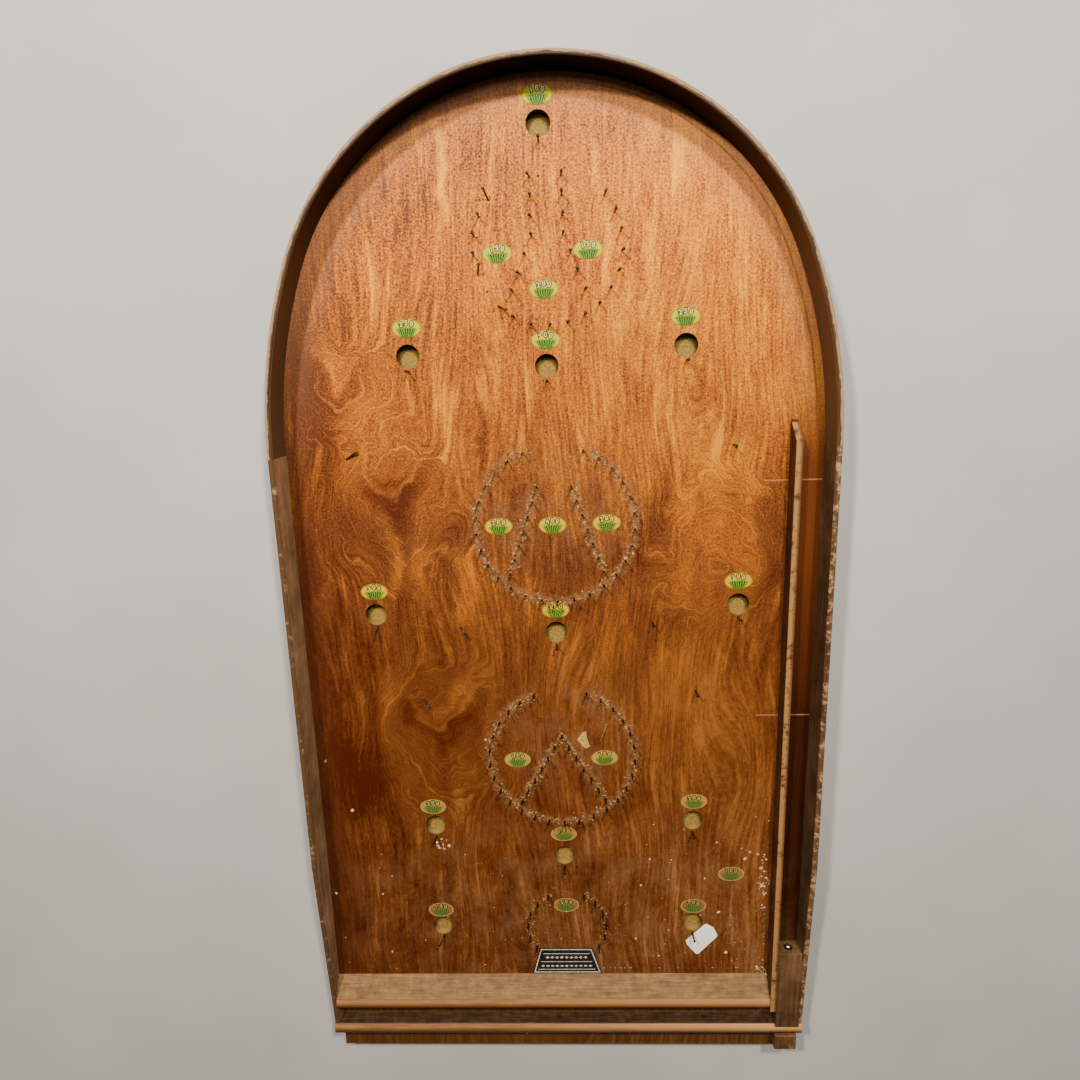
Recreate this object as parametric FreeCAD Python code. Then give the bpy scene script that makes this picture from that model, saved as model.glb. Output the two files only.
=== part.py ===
"""Bagatelle board: an arched plywood playfield with a bent rim, nail formations and a pull plunger.

The board lies flat, ready to play. +Z is up, +Y points to the arch, and the plunger lane is on +X.
The origin is under the middle of the board, on the surface that it lies on. Lengths are millimetres.
"""
import FreeCAD
import Part
import math
import os

Vector = FreeCAD.Vector

# --- Board and arch ---------------------------------------------------------------------------
BOARD_WIDTH = 395.0          # over the rim strips
SIDE_ARC_EASE = 162.5        # how much wider than half the board the arcs above the sides are bent
APEX_ARC_TIGHTENING = 11.5   # how much tighter than half the board the top of the arch is bent
PANEL_THICKNESS = 12.0
RIM_THICKNESS = 4.0
RIM_ABOVE_PLAYFIELD = 26.0
RIM_TAPER_LENGTH = 160.0     # the side strips come down towards the foot
RIM_FOOT_ABOVE_PLAYFIELD = 11.0
RIM_EDGE_BEVEL = 0.8

# --- Nail formations: each centre is measured down the board from the one before it -----------
TOP_RING_BELOW_APEX = 112.1
MIDDLE_RING_BELOW_TOP = 192.1
LOWER_RING_BELOW_MIDDLE = 186.7
BOTTOM_RING_BELOW_LOWER = 154.5
STOP_RAIL_BELOW_BOTTOM_RING = 47.6
PATTERN_ANGLE = 0.65          # degrees: the layout was marked out a little askew
PATTERN_SHIFT = -4.5         # across the board, where the layout's centre line meets the apex

# --- Scoring cups -----------------------------------------------------------------------------
CUP_DIAMETER = 16.5
CUP_DEPTH = 6.0
TOP_CUP_ABOVE = 77.6         # heights are from the centre of the cup's own formation
TOP_SIDE_CUPS_BELOW = 67.7
TOP_SIDE_CUPS_SPREAD = 97.5
TOP_CENTRE_CUP_BELOW = 77.9
MIDDLE_SIDE_CUPS_BELOW = 64.9
MIDDLE_SIDE_CUPS_SPREAD = 136.5
MIDDLE_CENTRE_CUP_BELOW = 82.9
LOWER_SIDE_CUPS_BELOW = 58.4
LOWER_SIDE_CUPS_SPREAD = 103.5
LOWER_CENTRE_CUP_BELOW = 88.1
BOTTOM_SIDE_CUPS_ABOVE = 1.6
BOTTOM_SIDE_CUPS_SPREAD = 104.0

# --- Nails of the playfield -------------------------------------------------------------------
PIN_DIAMETER = 1.4
NAIL_FACE_COUNT = 8          # flats round every nail, for there are well over a hundred of them
PIN_ABOVE_PLAYFIELD = 10.0
PIN_DRIVEN_DEPTH = 7.0
PIN_BEHIND_CUP = 1.3         # wood left between a cup's edge and the nail below it
LEANING_PIN_ANGLE = 40.0     # degrees from upright, for nails that have been knocked over
FLAT_PIN_ANGLE = 80.0
CUP_STOP_LEAN_HEADINGS = {6: -95.0, 10: -125.0}  # cup index to heading in degrees

TOP_RING_RADIUS = 50.6
TOP_RING_SHIFT = 3.4
TOP_RING_RIGHT_OPENING_ANGLE = 51.0  # degrees from straight up to the ring's end
TOP_RING_LEFT_OPENING_ANGLE = 50.0
TOP_RING_PIN_COUNT = 19
TOP_RING_LOST_PIN_INDEX = 13  # this nail has fallen out
TOP_RING_LEAN_HEADINGS = {18: 115.0, 14: 75.0, 12: -30.0}  # nail index to heading in degrees
TOP_NECK_HALF_WIDTH = 10.6
TOP_NECK_START = 45.6        # above the ring's centre
TOP_NECK_END = 8.4
TOP_NECK_PIN_COUNT = 4
TOP_FLARE_HALF_WIDTH = 24.8
TOP_FLARE_END = -27.2
TOP_FLARE_PIN_COUNT = 3

MIDDLE_RING_RADIUS = 58.5
MIDDLE_RING_SHIFT = 2.0
MIDDLE_RING_OPENING_ANGLE = 22.0
MIDDLE_RING_PIN_COUNT = 27
MIDDLE_LEG_TOP = 28.6
MIDDLE_LEG_TOP_HALF_WIDTH = 12.6
MIDDLE_LEG_BOTTOM = -36.4
MIDDLE_LEG_BOTTOM_HALF_WIDTH = 34.8
MIDDLE_LEG_PIN_COUNT = 7

LOWER_RING_RADIUS = 57.0
LOWER_RING_SHIFT = 1.0
LOWER_RING_OPENING_ANGLE = 21.0
LOWER_RING_PIN_COUNT = 27
LOWER_LEG_TOP = 18.4
LOWER_LEG_BOTTOM = -37.9
LOWER_LEG_BOTTOM_HALF_WIDTH = 33.5
LOWER_LEG_PIN_COUNT = 7

BOTTOM_RING_RADIUS = 32.5
BOTTOM_RING_OPENING_ANGLE = 27.0
BOTTOM_RING_STEP_ANGLE = 20.0  # degrees
BOTTOM_RING_SIDE_PIN_COUNT = 6

UPPER_GUARD_SPREAD = 139.0
UPPER_GUARD_SHIFT = -8.0     # this pair was set out left of the centre line
UPPER_GUARD_ABOVE_MIDDLE = 54.4
UPPER_GUARD_HEADING = 32.0   # degrees, of the left nail, which lies nearly flat
INNER_GUARD_SPREAD = 72.4
INNER_GUARD_BELOW_MIDDLE = 77.3
INNER_GUARD_HEADING = -55.0
OUTER_GUARD_SPREAD = 105.4
OUTER_GUARD_ABOVE_LOWER = 53.2
OUTER_GUARD_HEADING = -60.0

# --- Plunger lane -----------------------------------------------------------------------------
LANE_WIDTH = 19.0
DIVIDER_THICKNESS = 5.0
DIVIDER_HEIGHT = 15.0
DIVIDER_PAST_SPRING_LINE = 16.6
DIVIDER_TIP_SLOPE = 13.7
DIVIDER_EDGE_ROUND = 0.8

# --- Rails across the foot of the board -------------------------------------------------------
STOP_RAIL_SLOPE = 13.8       # plan length of the face that the balls run up to
STOP_RAIL_HEIGHT = 12.5      # where that face meets the rounded crest
STOP_RAIL_CREST = 10.4       # plan length of the crest
STOP_RAIL_CREST_RISE = 1.2
STOP_RAIL_BACK_DROP = 1.4
TROUGH_WIDTH = 15.0
BOTTOM_RAIL_WIDTH = 10.6
BOTTOM_RAIL_HEIGHT = 12.8
BOTTOM_RAIL_SHOULDER = 2.2
LEDGE_WIDTH = 22.2

# --- Plunger ----------------------------------------------------------------------------------
BLOCK_LENGTH = 56.0
BLOCK_HEIGHT = 15.0
BLOCK_EDGE_ROUND = 0.5
ROD_DIAMETER = 5.0
ROD_AXIS_HEIGHT = 7.0        # above the playfield
ROD_TIP_PROUD = 2.0
ROD_TIP_BEVEL = 0.8
MUZZLE_DIAMETER = 7.6
MUZZLE_LENGTH = 8.0
CHAMBER_DIAMETER = 10.4
COLLAR_THICKNESS = 3.0
RUNNING_CLEARANCE = 0.05     # on the radius
COLLAR_END_GAP = 0.2
SPRING_WIRE_DIAMETER = 0.9
SPRING_CLEARANCE = 0.5       # on the radius, to the chamber's wall
SPRING_TURN_COUNT = 8
SPRING_STEP_COUNT = 12       # straight steps in each turn of the coil
SPRING_FACE_COUNT = 6        # flats round its wire
HANDLE_LENGTH = 14.0
HANDLE_HEIGHT = 13.0
HANDLE_SIDE_CLEARANCE = 0.5
HANDLE_RAIL_GAP = 0.2
HANDLE_EDGE_ROUND = 1.5
HANDLE_END_WOOD = 2.0        # left over the blind end of the rod's hole

# --- Rim nails --------------------------------------------------------------------------------
RIM_NAIL_DIAMETER = 1.6
RIM_NAIL_HEAD_DIAMETER = 3.6
RIM_NAIL_HEAD_THICKNESS = 0.8
RIM_NAIL_LENGTH = 18.0
RIM_NAIL_SPACING = 95.0      # along the straight sides, at most
RIM_NAIL_END_DISTANCE = 12.0
ARCH_NAIL_STEP_ANGLE = 18.0        # degrees, on the apex arc

# --- Worked out from the sizes above ----------------------------------------------------------
HALF_WIDTH = BOARD_WIDTH / 2
INNER_HALF_WIDTH = HALF_WIDTH - RIM_THICKNESS
SIDE_ARC_RADIUS = HALF_WIDTH + SIDE_ARC_EASE
APEX_ARC_RADIUS = HALF_WIDTH - APEX_ARC_TIGHTENING
BLEND_ANGLE = math.degrees(math.acos(SIDE_ARC_EASE / (SIDE_ARC_EASE + APEX_ARC_TIGHTENING)))
APEX_CENTRE_RISE = (SIDE_ARC_RADIUS - APEX_ARC_RADIUS) * math.sin(math.radians(BLEND_ANGLE))
ARCH_RISE = APEX_CENTRE_RISE + APEX_ARC_RADIUS

TOP_RING_DOWN = TOP_RING_BELOW_APEX
MIDDLE_RING_DOWN = TOP_RING_DOWN + MIDDLE_RING_BELOW_TOP
LOWER_RING_DOWN = MIDDLE_RING_DOWN + LOWER_RING_BELOW_MIDDLE
BOTTOM_RING_DOWN = LOWER_RING_DOWN + BOTTOM_RING_BELOW_LOWER
STOP_RAIL_DOWN = BOTTOM_RING_DOWN + STOP_RAIL_BELOW_BOTTOM_RING
STOP_RAIL_WIDTH = STOP_RAIL_SLOPE + STOP_RAIL_CREST
BOARD_LENGTH = (STOP_RAIL_DOWN + STOP_RAIL_WIDTH + TROUGH_WIDTH + BOTTOM_RAIL_WIDTH + LEDGE_WIDTH)

APEX_Y = BOARD_LENGTH / 2
FOOT_Y = -BOARD_LENGTH / 2
SPRING_LINE_Y = APEX_Y - ARCH_RISE
STOP_RAIL_Y = APEX_Y - STOP_RAIL_DOWN
TROUGH_Y = STOP_RAIL_Y - STOP_RAIL_WIDTH
BOTTOM_RAIL_Y = TROUGH_Y - TROUGH_WIDTH
RAIL_OUTER_Y = BOTTOM_RAIL_Y - BOTTOM_RAIL_WIDTH

PLAYFIELD_Z = PANEL_THICKNESS
RIM_TOP_Z = PLAYFIELD_Z + RIM_ABOVE_PLAYFIELD
RIM_FOOT_Z = PLAYFIELD_Z + RIM_FOOT_ABOVE_PLAYFIELD
LANE_LEFT_X = INNER_HALF_WIDTH - LANE_WIDTH
DIVIDER_LEFT_X = LANE_LEFT_X - DIVIDER_THICKNESS
LANE_X = INNER_HALF_WIDTH - LANE_WIDTH / 2
BLOCK_Y = TROUGH_Y + BLOCK_LENGTH
CHAMBER_Y = BLOCK_Y - MUZZLE_LENGTH
ROD_Z = PLAYFIELD_Z + ROD_AXIS_HEIGHT
ROD_RADIUS = ROD_DIAMETER / 2
GUIDE_RADIUS = ROD_RADIUS + RUNNING_CLEARANCE
CHAMBER_RADIUS = CHAMBER_DIAMETER / 2
COLLAR_Y = CHAMBER_Y - COLLAR_END_GAP
HANDLE_Y = RAIL_OUTER_Y - HANDLE_RAIL_GAP
HANDLE_WIDTH = LANE_WIDTH - 2 * HANDLE_SIDE_CLEARANCE


# --- Shapes used by several pieces ------------------------------------------------------------
def arc(centre_x, centre_y, radius, start, end):
    """A flat arc about a centre, between two angles in degrees."""
    points = []
    for angle in (start, (start + end) / 2, end):
        turn = math.radians(angle)
        points.append(Vector(centre_x + radius * math.cos(turn), centre_y + radius * math.sin(turn), 0))
    return Part.Arc(*points).toShape()


def arch_edges(inset):
    """The arch from its right spring point over the apex to the left one, inset from the outside."""
    side_centre = HALF_WIDTH - SIDE_ARC_RADIUS
    apex_centre_y = SPRING_LINE_Y + APEX_CENTRE_RISE
    side_radius = SIDE_ARC_RADIUS - inset
    apex_radius = APEX_ARC_RADIUS - inset
    return [
        arc(side_centre, SPRING_LINE_Y, side_radius, 0, BLEND_ANGLE),
        arc(0, apex_centre_y, apex_radius, BLEND_ANGLE, 180 - BLEND_ANGLE),
        arc(-side_centre, SPRING_LINE_Y, side_radius, 180 - BLEND_ANGLE, 180),
    ]


def line(x1, y1, x2, y2):
    """A flat straight edge."""
    return Part.LineSegment(Vector(x1, y1, 0), Vector(x2, y2, 0)).toShape()


def extruded(edges, bottom, top):
    """A flat outline raised from one height to another."""
    outline = Part.Wire(Part.__sortEdges__(edges))
    face = Part.Face(outline)
    face.translate(Vector(0, 0, bottom))
    return face.extrude(Vector(0, 0, top - bottom))


def box(x1, x2, y1, y2, z1, z2):
    """A block between two values on each axis."""
    return Part.makeBox(x2 - x1, y2 - y1, z2 - z1, Vector(x1, y1, z1))


def rounded(solid, radius, wanted):
    """The solid with the wanted edges rounded."""
    return solid.makeFillet(radius, [edge for edge in solid.Edges if wanted(edge)])


def bevelled(solid, size, wanted):
    """The solid with the wanted edges planed off at 45 degrees."""
    return solid.makeChamfer(size, [edge for edge in solid.Edges if wanted(edge)])


def lies_at_height(edge, height):
    """True for an edge that lies level at the given height."""
    bounds = edge.BoundBox
    return abs(bounds.ZMin - height) < 0.01 and abs(bounds.ZMax - height) < 0.01


def rail(edges, left, right):
    """A rail across the board, from its outline in Y and Z with X read as Y and Y read as Z."""
    face = Part.Face(Part.Wire(Part.__sortEdges__(edges)))
    face.rotate(Vector(0, 0, 0), Vector(1, 1, 1), 120)
    face.translate(Vector(left, 0, 0))
    return face.extrude(Vector(right - left, 0, 0))


def along_y(radius, start, end):
    """A round bar or bore on the plunger's axis, from the first Y back to the second."""
    return Part.makeCylinder(radius, start - end, Vector(LANE_X, end, ROD_Z), Vector(0, 1, 0))


# --- Layout of cups and nails -----------------------------------------------------------------
def place(across, down):
    """A spot on the playfield, from the layout's centre line and its distance below the apex."""
    turn = math.radians(PATTERN_ANGLE)
    x = PATTERN_SHIFT + across * math.cos(turn) + down * math.sin(turn)
    y = APEX_Y + across * math.sin(turn) - down * math.cos(turn)
    return Vector(x, y, PLAYFIELD_Z)


def cup_places():
    """The twelve scoring cups, formation by formation."""
    spots = [(0, TOP_RING_DOWN - TOP_CUP_ABOVE)]
    spots.append((0, TOP_RING_DOWN + TOP_CENTRE_CUP_BELOW))
    spots.append((0, MIDDLE_RING_DOWN + MIDDLE_CENTRE_CUP_BELOW))
    spots.append((0, LOWER_RING_DOWN + LOWER_CENTRE_CUP_BELOW))
    pairs = [
        (TOP_SIDE_CUPS_SPREAD, TOP_RING_DOWN + TOP_SIDE_CUPS_BELOW),
        (MIDDLE_SIDE_CUPS_SPREAD, MIDDLE_RING_DOWN + MIDDLE_SIDE_CUPS_BELOW),
        (LOWER_SIDE_CUPS_SPREAD, LOWER_RING_DOWN + LOWER_SIDE_CUPS_BELOW),
        (BOTTOM_SIDE_CUPS_SPREAD, BOTTOM_RING_DOWN - BOTTOM_SIDE_CUPS_ABOVE),
    ]
    for spread, down in pairs:
        spots.append((-spread, down))
        spots.append((spread, down))
    return [place(across, down) for across, down in spots]


def ring_places(shift, down, radius, right_opening, left_opening, count):
    """Spots round a ring that is open at the top, clockwise from the right of the opening."""
    first = 90 - right_opening
    last = -270 + left_opening
    spots = []
    for index in range(count):
        turn = math.radians(first + (last - first) * index / (count - 1))
        spots.append(place(shift + radius * math.cos(turn), down - radius * math.sin(turn)))
    return spots


def row_places(shift, down, start, end, count):
    """Evenly spaced spots from start to end, both given across and above the formation's centre."""
    spots = []
    for index in range(count):
        part = index / (count - 1)
        across = start[0] + (end[0] - start[0]) * part
        above = start[1] + (end[1] - start[1]) * part
        spots.append(place(shift + across, down - above))
    return spots


# --- Nails ------------------------------------------------------------------------------------
def faceted_bar(radius, length, start, direction):
    """A bar with flat sides about a line, from its starting point."""
    corners = []
    for index in range(NAIL_FACE_COUNT + 1):
        turn = 2 * math.pi * index / NAIL_FACE_COUNT
        corners.append(Vector(radius * math.cos(turn), radius * math.sin(turn), 0))
    bar = Part.Face(Part.makePolygon(corners)).extrude(Vector(0, 0, length))
    bar.Placement = FreeCAD.Placement(start, FreeCAD.Rotation(Vector(0, 0, 1), direction))
    return bar


def pin(spot, lean=0.0, heading=0.0):
    """A nail in the playfield. A leaning one is bent at the surface, towards its heading in degrees."""
    radius = PIN_DIAMETER / 2
    up = Vector(0, 0, 1)
    foot = spot - up * PIN_DRIVEN_DEPTH
    if lean == 0:
        return faceted_bar(radius, PIN_DRIVEN_DEPTH + PIN_ABOVE_PLAYFIELD, foot, up)
    shank = faceted_bar(radius, PIN_DRIVEN_DEPTH + PIN_DIAMETER, foot, up)
    slope = math.radians(lean)
    turn = math.radians(heading)
    level = Vector(math.cos(turn), math.sin(turn), 0)
    direction = level * math.sin(slope) + up * math.cos(slope)
    bent = faceted_bar(radius, PIN_ABOVE_PLAYFIELD, spot + up * radius, direction)
    return shank.fuse(bent).removeSplitter()


def top_ring_pins():
    """The open ring under the top cup, with one nail missing and a few leaning."""
    spots = ring_places(TOP_RING_SHIFT, TOP_RING_DOWN, TOP_RING_RADIUS,
                        TOP_RING_RIGHT_OPENING_ANGLE, TOP_RING_LEFT_OPENING_ANGLE, TOP_RING_PIN_COUNT)
    pins = []
    for index, spot in enumerate(spots):
        if index == TOP_RING_LOST_PIN_INDEX:
            continue
        if index in TOP_RING_LEAN_HEADINGS:
            pins.append(pin(spot, LEANING_PIN_ANGLE, TOP_RING_LEAN_HEADINGS[index]))
        else:
            pins.append(pin(spot))
    return pins


def top_neck_pins():
    """The two rows that lead a ball into the top ring and then spread apart."""
    pins = []
    for side in (-1, 1):
        neck_end = (side * TOP_NECK_HALF_WIDTH, TOP_NECK_END)
        neck = row_places(TOP_RING_SHIFT, TOP_RING_DOWN,
                          (side * TOP_NECK_HALF_WIDTH, TOP_NECK_START), neck_end, TOP_NECK_PIN_COUNT)
        flare = row_places(TOP_RING_SHIFT, TOP_RING_DOWN, neck_end,
                           (side * TOP_FLARE_HALF_WIDTH, TOP_FLARE_END), TOP_FLARE_PIN_COUNT + 1)
        for spot in neck + flare[1:]:
            pins.append(pin(spot))
    return pins


def middle_ring_pins():
    """The large open ring in the middle of the board."""
    spots = ring_places(MIDDLE_RING_SHIFT, MIDDLE_RING_DOWN, MIDDLE_RING_RADIUS,
                        MIDDLE_RING_OPENING_ANGLE, MIDDLE_RING_OPENING_ANGLE, MIDDLE_RING_PIN_COUNT)
    return [pin(spot) for spot in spots]


def middle_leg_pins():
    """Two rows that spread downwards inside the middle ring."""
    pins = []
    for side in (-1, 1):
        spots = row_places(MIDDLE_RING_SHIFT, MIDDLE_RING_DOWN,
                           (side * MIDDLE_LEG_TOP_HALF_WIDTH, MIDDLE_LEG_TOP),
                           (side * MIDDLE_LEG_BOTTOM_HALF_WIDTH, MIDDLE_LEG_BOTTOM), MIDDLE_LEG_PIN_COUNT)
        pins.extend(pin(spot) for spot in spots)
    return pins


def lower_ring_pins():
    """The lower open ring."""
    spots = ring_places(LOWER_RING_SHIFT, LOWER_RING_DOWN, LOWER_RING_RADIUS,
                        LOWER_RING_OPENING_ANGLE, LOWER_RING_OPENING_ANGLE, LOWER_RING_PIN_COUNT)
    return [pin(spot) for spot in spots]


def lower_leg_pins():
    """The roof of nails inside the lower ring: one at the ridge and a row down each side."""
    pins = []
    for side in (-1, 1):
        spots = row_places(LOWER_RING_SHIFT, LOWER_RING_DOWN, (0, LOWER_LEG_TOP),
                           (side * LOWER_LEG_BOTTOM_HALF_WIDTH, LOWER_LEG_BOTTOM), LOWER_LEG_PIN_COUNT)
        first = 0 if side < 0 else 1
        pins.extend(pin(spot) for spot in spots[first:])
    return pins


def bottom_ring_pins():
    """The small catch at the foot of the playfield, open at the top and at the bottom."""
    pins = []
    for side in (-1, 1):
        for index in range(BOTTOM_RING_SIDE_PIN_COUNT):
            turn = math.radians(90 - BOTTOM_RING_OPENING_ANGLE - BOTTOM_RING_STEP_ANGLE * index)
            across = side * BOTTOM_RING_RADIUS * math.cos(turn)
            pins.append(pin(place(across, BOTTOM_RING_DOWN - BOTTOM_RING_RADIUS * math.sin(turn))))
    return pins


def cup_stop_pins():
    """One nail just below each cup, which stops a ball over it. Two have been knocked forward."""
    reach = CUP_DIAMETER / 2 + PIN_BEHIND_CUP + PIN_DIAMETER / 2
    pins = []
    for index, cup in enumerate(cup_places()):
        spot = cup + Vector(0, -reach, 0)
        if index in CUP_STOP_LEAN_HEADINGS:
            pins.append(pin(spot, LEANING_PIN_ANGLE, CUP_STOP_LEAN_HEADINGS[index]))
        else:
            pins.append(pin(spot))
    return pins


def guard_pins():
    """Single nails in pairs beside the rings. Three on the left lie nearly flat."""
    pairs = [
        (UPPER_GUARD_SHIFT, UPPER_GUARD_SPREAD, MIDDLE_RING_DOWN - UPPER_GUARD_ABOVE_MIDDLE, UPPER_GUARD_HEADING),
        (0, INNER_GUARD_SPREAD, MIDDLE_RING_DOWN + INNER_GUARD_BELOW_MIDDLE, INNER_GUARD_HEADING),
        (0, OUTER_GUARD_SPREAD, LOWER_RING_DOWN - OUTER_GUARD_ABOVE_LOWER, OUTER_GUARD_HEADING),
    ]
    pins = []
    for shift, spread, down, heading in pairs:
        pins.append(pin(place(shift - spread, down), FLAT_PIN_ANGLE, heading))
        pins.append(pin(place(shift + spread, down)))
    return pins


# --- Wooden pieces ----------------------------------------------------------------------------
def playfield_panel():
    """The plywood board, with twelve blind cups and the ledge below the bottom rail."""
    edges = arch_edges(RIM_THICKNESS)
    edges.append(line(-INNER_HALF_WIDTH, SPRING_LINE_Y, -INNER_HALF_WIDTH, FOOT_Y))
    edges.append(line(-INNER_HALF_WIDTH, FOOT_Y, INNER_HALF_WIDTH, FOOT_Y))
    edges.append(line(INNER_HALF_WIDTH, FOOT_Y, INNER_HALF_WIDTH, SPRING_LINE_Y))
    panel = extruded(edges, 0, PLAYFIELD_Z)
    cups = []
    for spot in cup_places():
        floor = Vector(spot.x, spot.y, PLAYFIELD_Z - CUP_DEPTH)
        cups.append(Part.makeCylinder(CUP_DIAMETER / 2, CUP_DEPTH, floor))
    return panel.cut(cups)


def arch_rim():
    """The thin strip bent round the arch, from one spring point to the other."""
    edges = arch_edges(0) + arch_edges(RIM_THICKNESS)
    for side in (-1, 1):
        edges.append(line(side * HALF_WIDTH, SPRING_LINE_Y, side * INNER_HALF_WIDTH, SPRING_LINE_Y))
    strip = extruded(edges, 0, RIM_TOP_Z)
    return bevelled(strip, RIM_EDGE_BEVEL, lambda edge: lies_at_height(edge, RIM_TOP_Z)
                    and edge.Length > RIM_THICKNESS + RIM_EDGE_BEVEL)


def side_rim(side):
    """A straight rim strip, from the arch strip to the bottom rail, planed lower towards the foot."""
    taper_y = BOTTOM_RAIL_Y + RIM_TAPER_LENGTH
    edges = [
        line(SPRING_LINE_Y, 0, SPRING_LINE_Y, RIM_TOP_Z),
        line(SPRING_LINE_Y, RIM_TOP_Z, taper_y, RIM_TOP_Z),
        line(taper_y, RIM_TOP_Z, BOTTOM_RAIL_Y, RIM_FOOT_Z),
        line(BOTTOM_RAIL_Y, RIM_FOOT_Z, BOTTOM_RAIL_Y, 0),
        line(BOTTOM_RAIL_Y, 0, SPRING_LINE_Y, 0),
    ]
    left, right = sorted((side * HALF_WIDTH, side * INNER_HALF_WIDTH))
    return bevelled(rail(edges, left, right), RIM_EDGE_BEVEL, lambda edge: edge.BoundBox.ZMin > RIM_FOOT_Z - 0.01
                    and edge.Length > RIM_THICKNESS + RIM_EDGE_BEVEL)


def stop_rail():
    """The moulding that the balls come to rest against: a sloping face and a rounded crest."""
    base = PLAYFIELD_Z
    crest_top = base + STOP_RAIL_HEIGHT + STOP_RAIL_CREST_RISE
    back_top = base + STOP_RAIL_HEIGHT - STOP_RAIL_BACK_DROP
    slope_end = STOP_RAIL_Y - STOP_RAIL_SLOPE
    crest = Part.Arc(Vector(slope_end, base + STOP_RAIL_HEIGHT, 0),
                     Vector(slope_end - STOP_RAIL_CREST / 2, crest_top, 0),
                     Vector(TROUGH_Y, back_top, 0)).toShape()
    edges = [
        line(STOP_RAIL_Y, base, slope_end, base + STOP_RAIL_HEIGHT),
        crest,
        line(TROUGH_Y, back_top, TROUGH_Y, base),
        line(TROUGH_Y, base, STOP_RAIL_Y, base),
    ]
    return rail(edges, -INNER_HALF_WIDTH, DIVIDER_LEFT_X)


def bottom_rail():
    """The rail that closes the trough, as wide as the board over its rims, with the rod's hole."""
    base = PLAYFIELD_Z
    shoulder = base + BOTTOM_RAIL_HEIGHT - BOTTOM_RAIL_SHOULDER
    crest = Part.Arc(Vector(BOTTOM_RAIL_Y, shoulder, 0),
                     Vector(BOTTOM_RAIL_Y - BOTTOM_RAIL_WIDTH / 2, base + BOTTOM_RAIL_HEIGHT, 0),
                     Vector(RAIL_OUTER_Y, shoulder, 0)).toShape()
    edges = [
        crest,
        line(BOTTOM_RAIL_Y, base, BOTTOM_RAIL_Y, shoulder),
        line(RAIL_OUTER_Y, shoulder, RAIL_OUTER_Y, base),
        line(RAIL_OUTER_Y, base, BOTTOM_RAIL_Y, base),
    ]
    solid = rail(edges, -HALF_WIDTH, HALF_WIDTH)
    return solid.cut(along_y(GUIDE_RADIUS, BOTTOM_RAIL_Y, RAIL_OUTER_Y))


def lane_divider():
    """The strip between the playfield and the lane, with its upper end cut to a slope."""
    start = SPRING_LINE_Y + DIVIDER_PAST_SPRING_LINE
    top = PLAYFIELD_Z + DIVIDER_HEIGHT
    edges = [
        line(start, PLAYFIELD_Z, start - DIVIDER_TIP_SLOPE, top),
        line(start - DIVIDER_TIP_SLOPE, top, TROUGH_Y, top),
        line(TROUGH_Y, top, TROUGH_Y, PLAYFIELD_Z),
        line(TROUGH_Y, PLAYFIELD_Z, start, PLAYFIELD_Z),
    ]
    strip = rail(edges, DIVIDER_LEFT_X, LANE_LEFT_X)
    return rounded(strip, DIVIDER_EDGE_ROUND, lambda edge: lies_at_height(edge, top)
                   and edge.Length > DIVIDER_THICKNESS + DIVIDER_EDGE_ROUND)


def lane_block():
    """The block that fills the foot of the lane, bored for the rod and, from behind, for its spring."""
    top = PLAYFIELD_Z + BLOCK_HEIGHT
    block = box(LANE_LEFT_X, INNER_HALF_WIDTH, TROUGH_Y, BLOCK_Y, PLAYFIELD_Z, top)
    block = rounded(block, BLOCK_EDGE_ROUND, lambda edge: lies_at_height(edge, top)
                    and abs(edge.BoundBox.YMin - BLOCK_Y) < 0.01)
    muzzle = along_y(MUZZLE_DIAMETER / 2, BLOCK_Y, CHAMBER_Y)
    chamber = along_y(CHAMBER_RADIUS, CHAMBER_Y, TROUGH_Y)
    return block.cut([muzzle, chamber])


def trough_filler():
    """The short piece behind the block, which ends the trough and backs up the spring."""
    piece = box(LANE_LEFT_X, INNER_HALF_WIDTH, BOTTOM_RAIL_Y, TROUGH_Y,
                PLAYFIELD_Z, PLAYFIELD_Z + BLOCK_HEIGHT)
    return piece.cut(along_y(GUIDE_RADIUS, TROUGH_Y, BOTTOM_RAIL_Y))


# --- Plunger ----------------------------------------------------------------------------------
def rod_end_y():
    """Where the rod stops inside the handle."""
    return HANDLE_Y - HANDLE_LENGTH + HANDLE_END_WOOD


def plunger_rod():
    """The steel rod, with a softened tip that strikes the ball."""
    rod = along_y(ROD_RADIUS, BLOCK_Y + ROD_TIP_PROUD, rod_end_y())
    return bevelled(rod, ROD_TIP_BEVEL, lambda edge: edge.BoundBox.YMin > BLOCK_Y)


def plunger_collar():
    """The collar pinned to the rod: the spring pushes on it and it guides the rod in the chamber."""
    ring = along_y(CHAMBER_RADIUS - RUNNING_CLEARANCE, COLLAR_Y, COLLAR_Y - COLLAR_THICKNESS)
    return ring.cut(along_y(ROD_RADIUS, COLLAR_Y, COLLAR_Y - COLLAR_THICKNESS))


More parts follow.
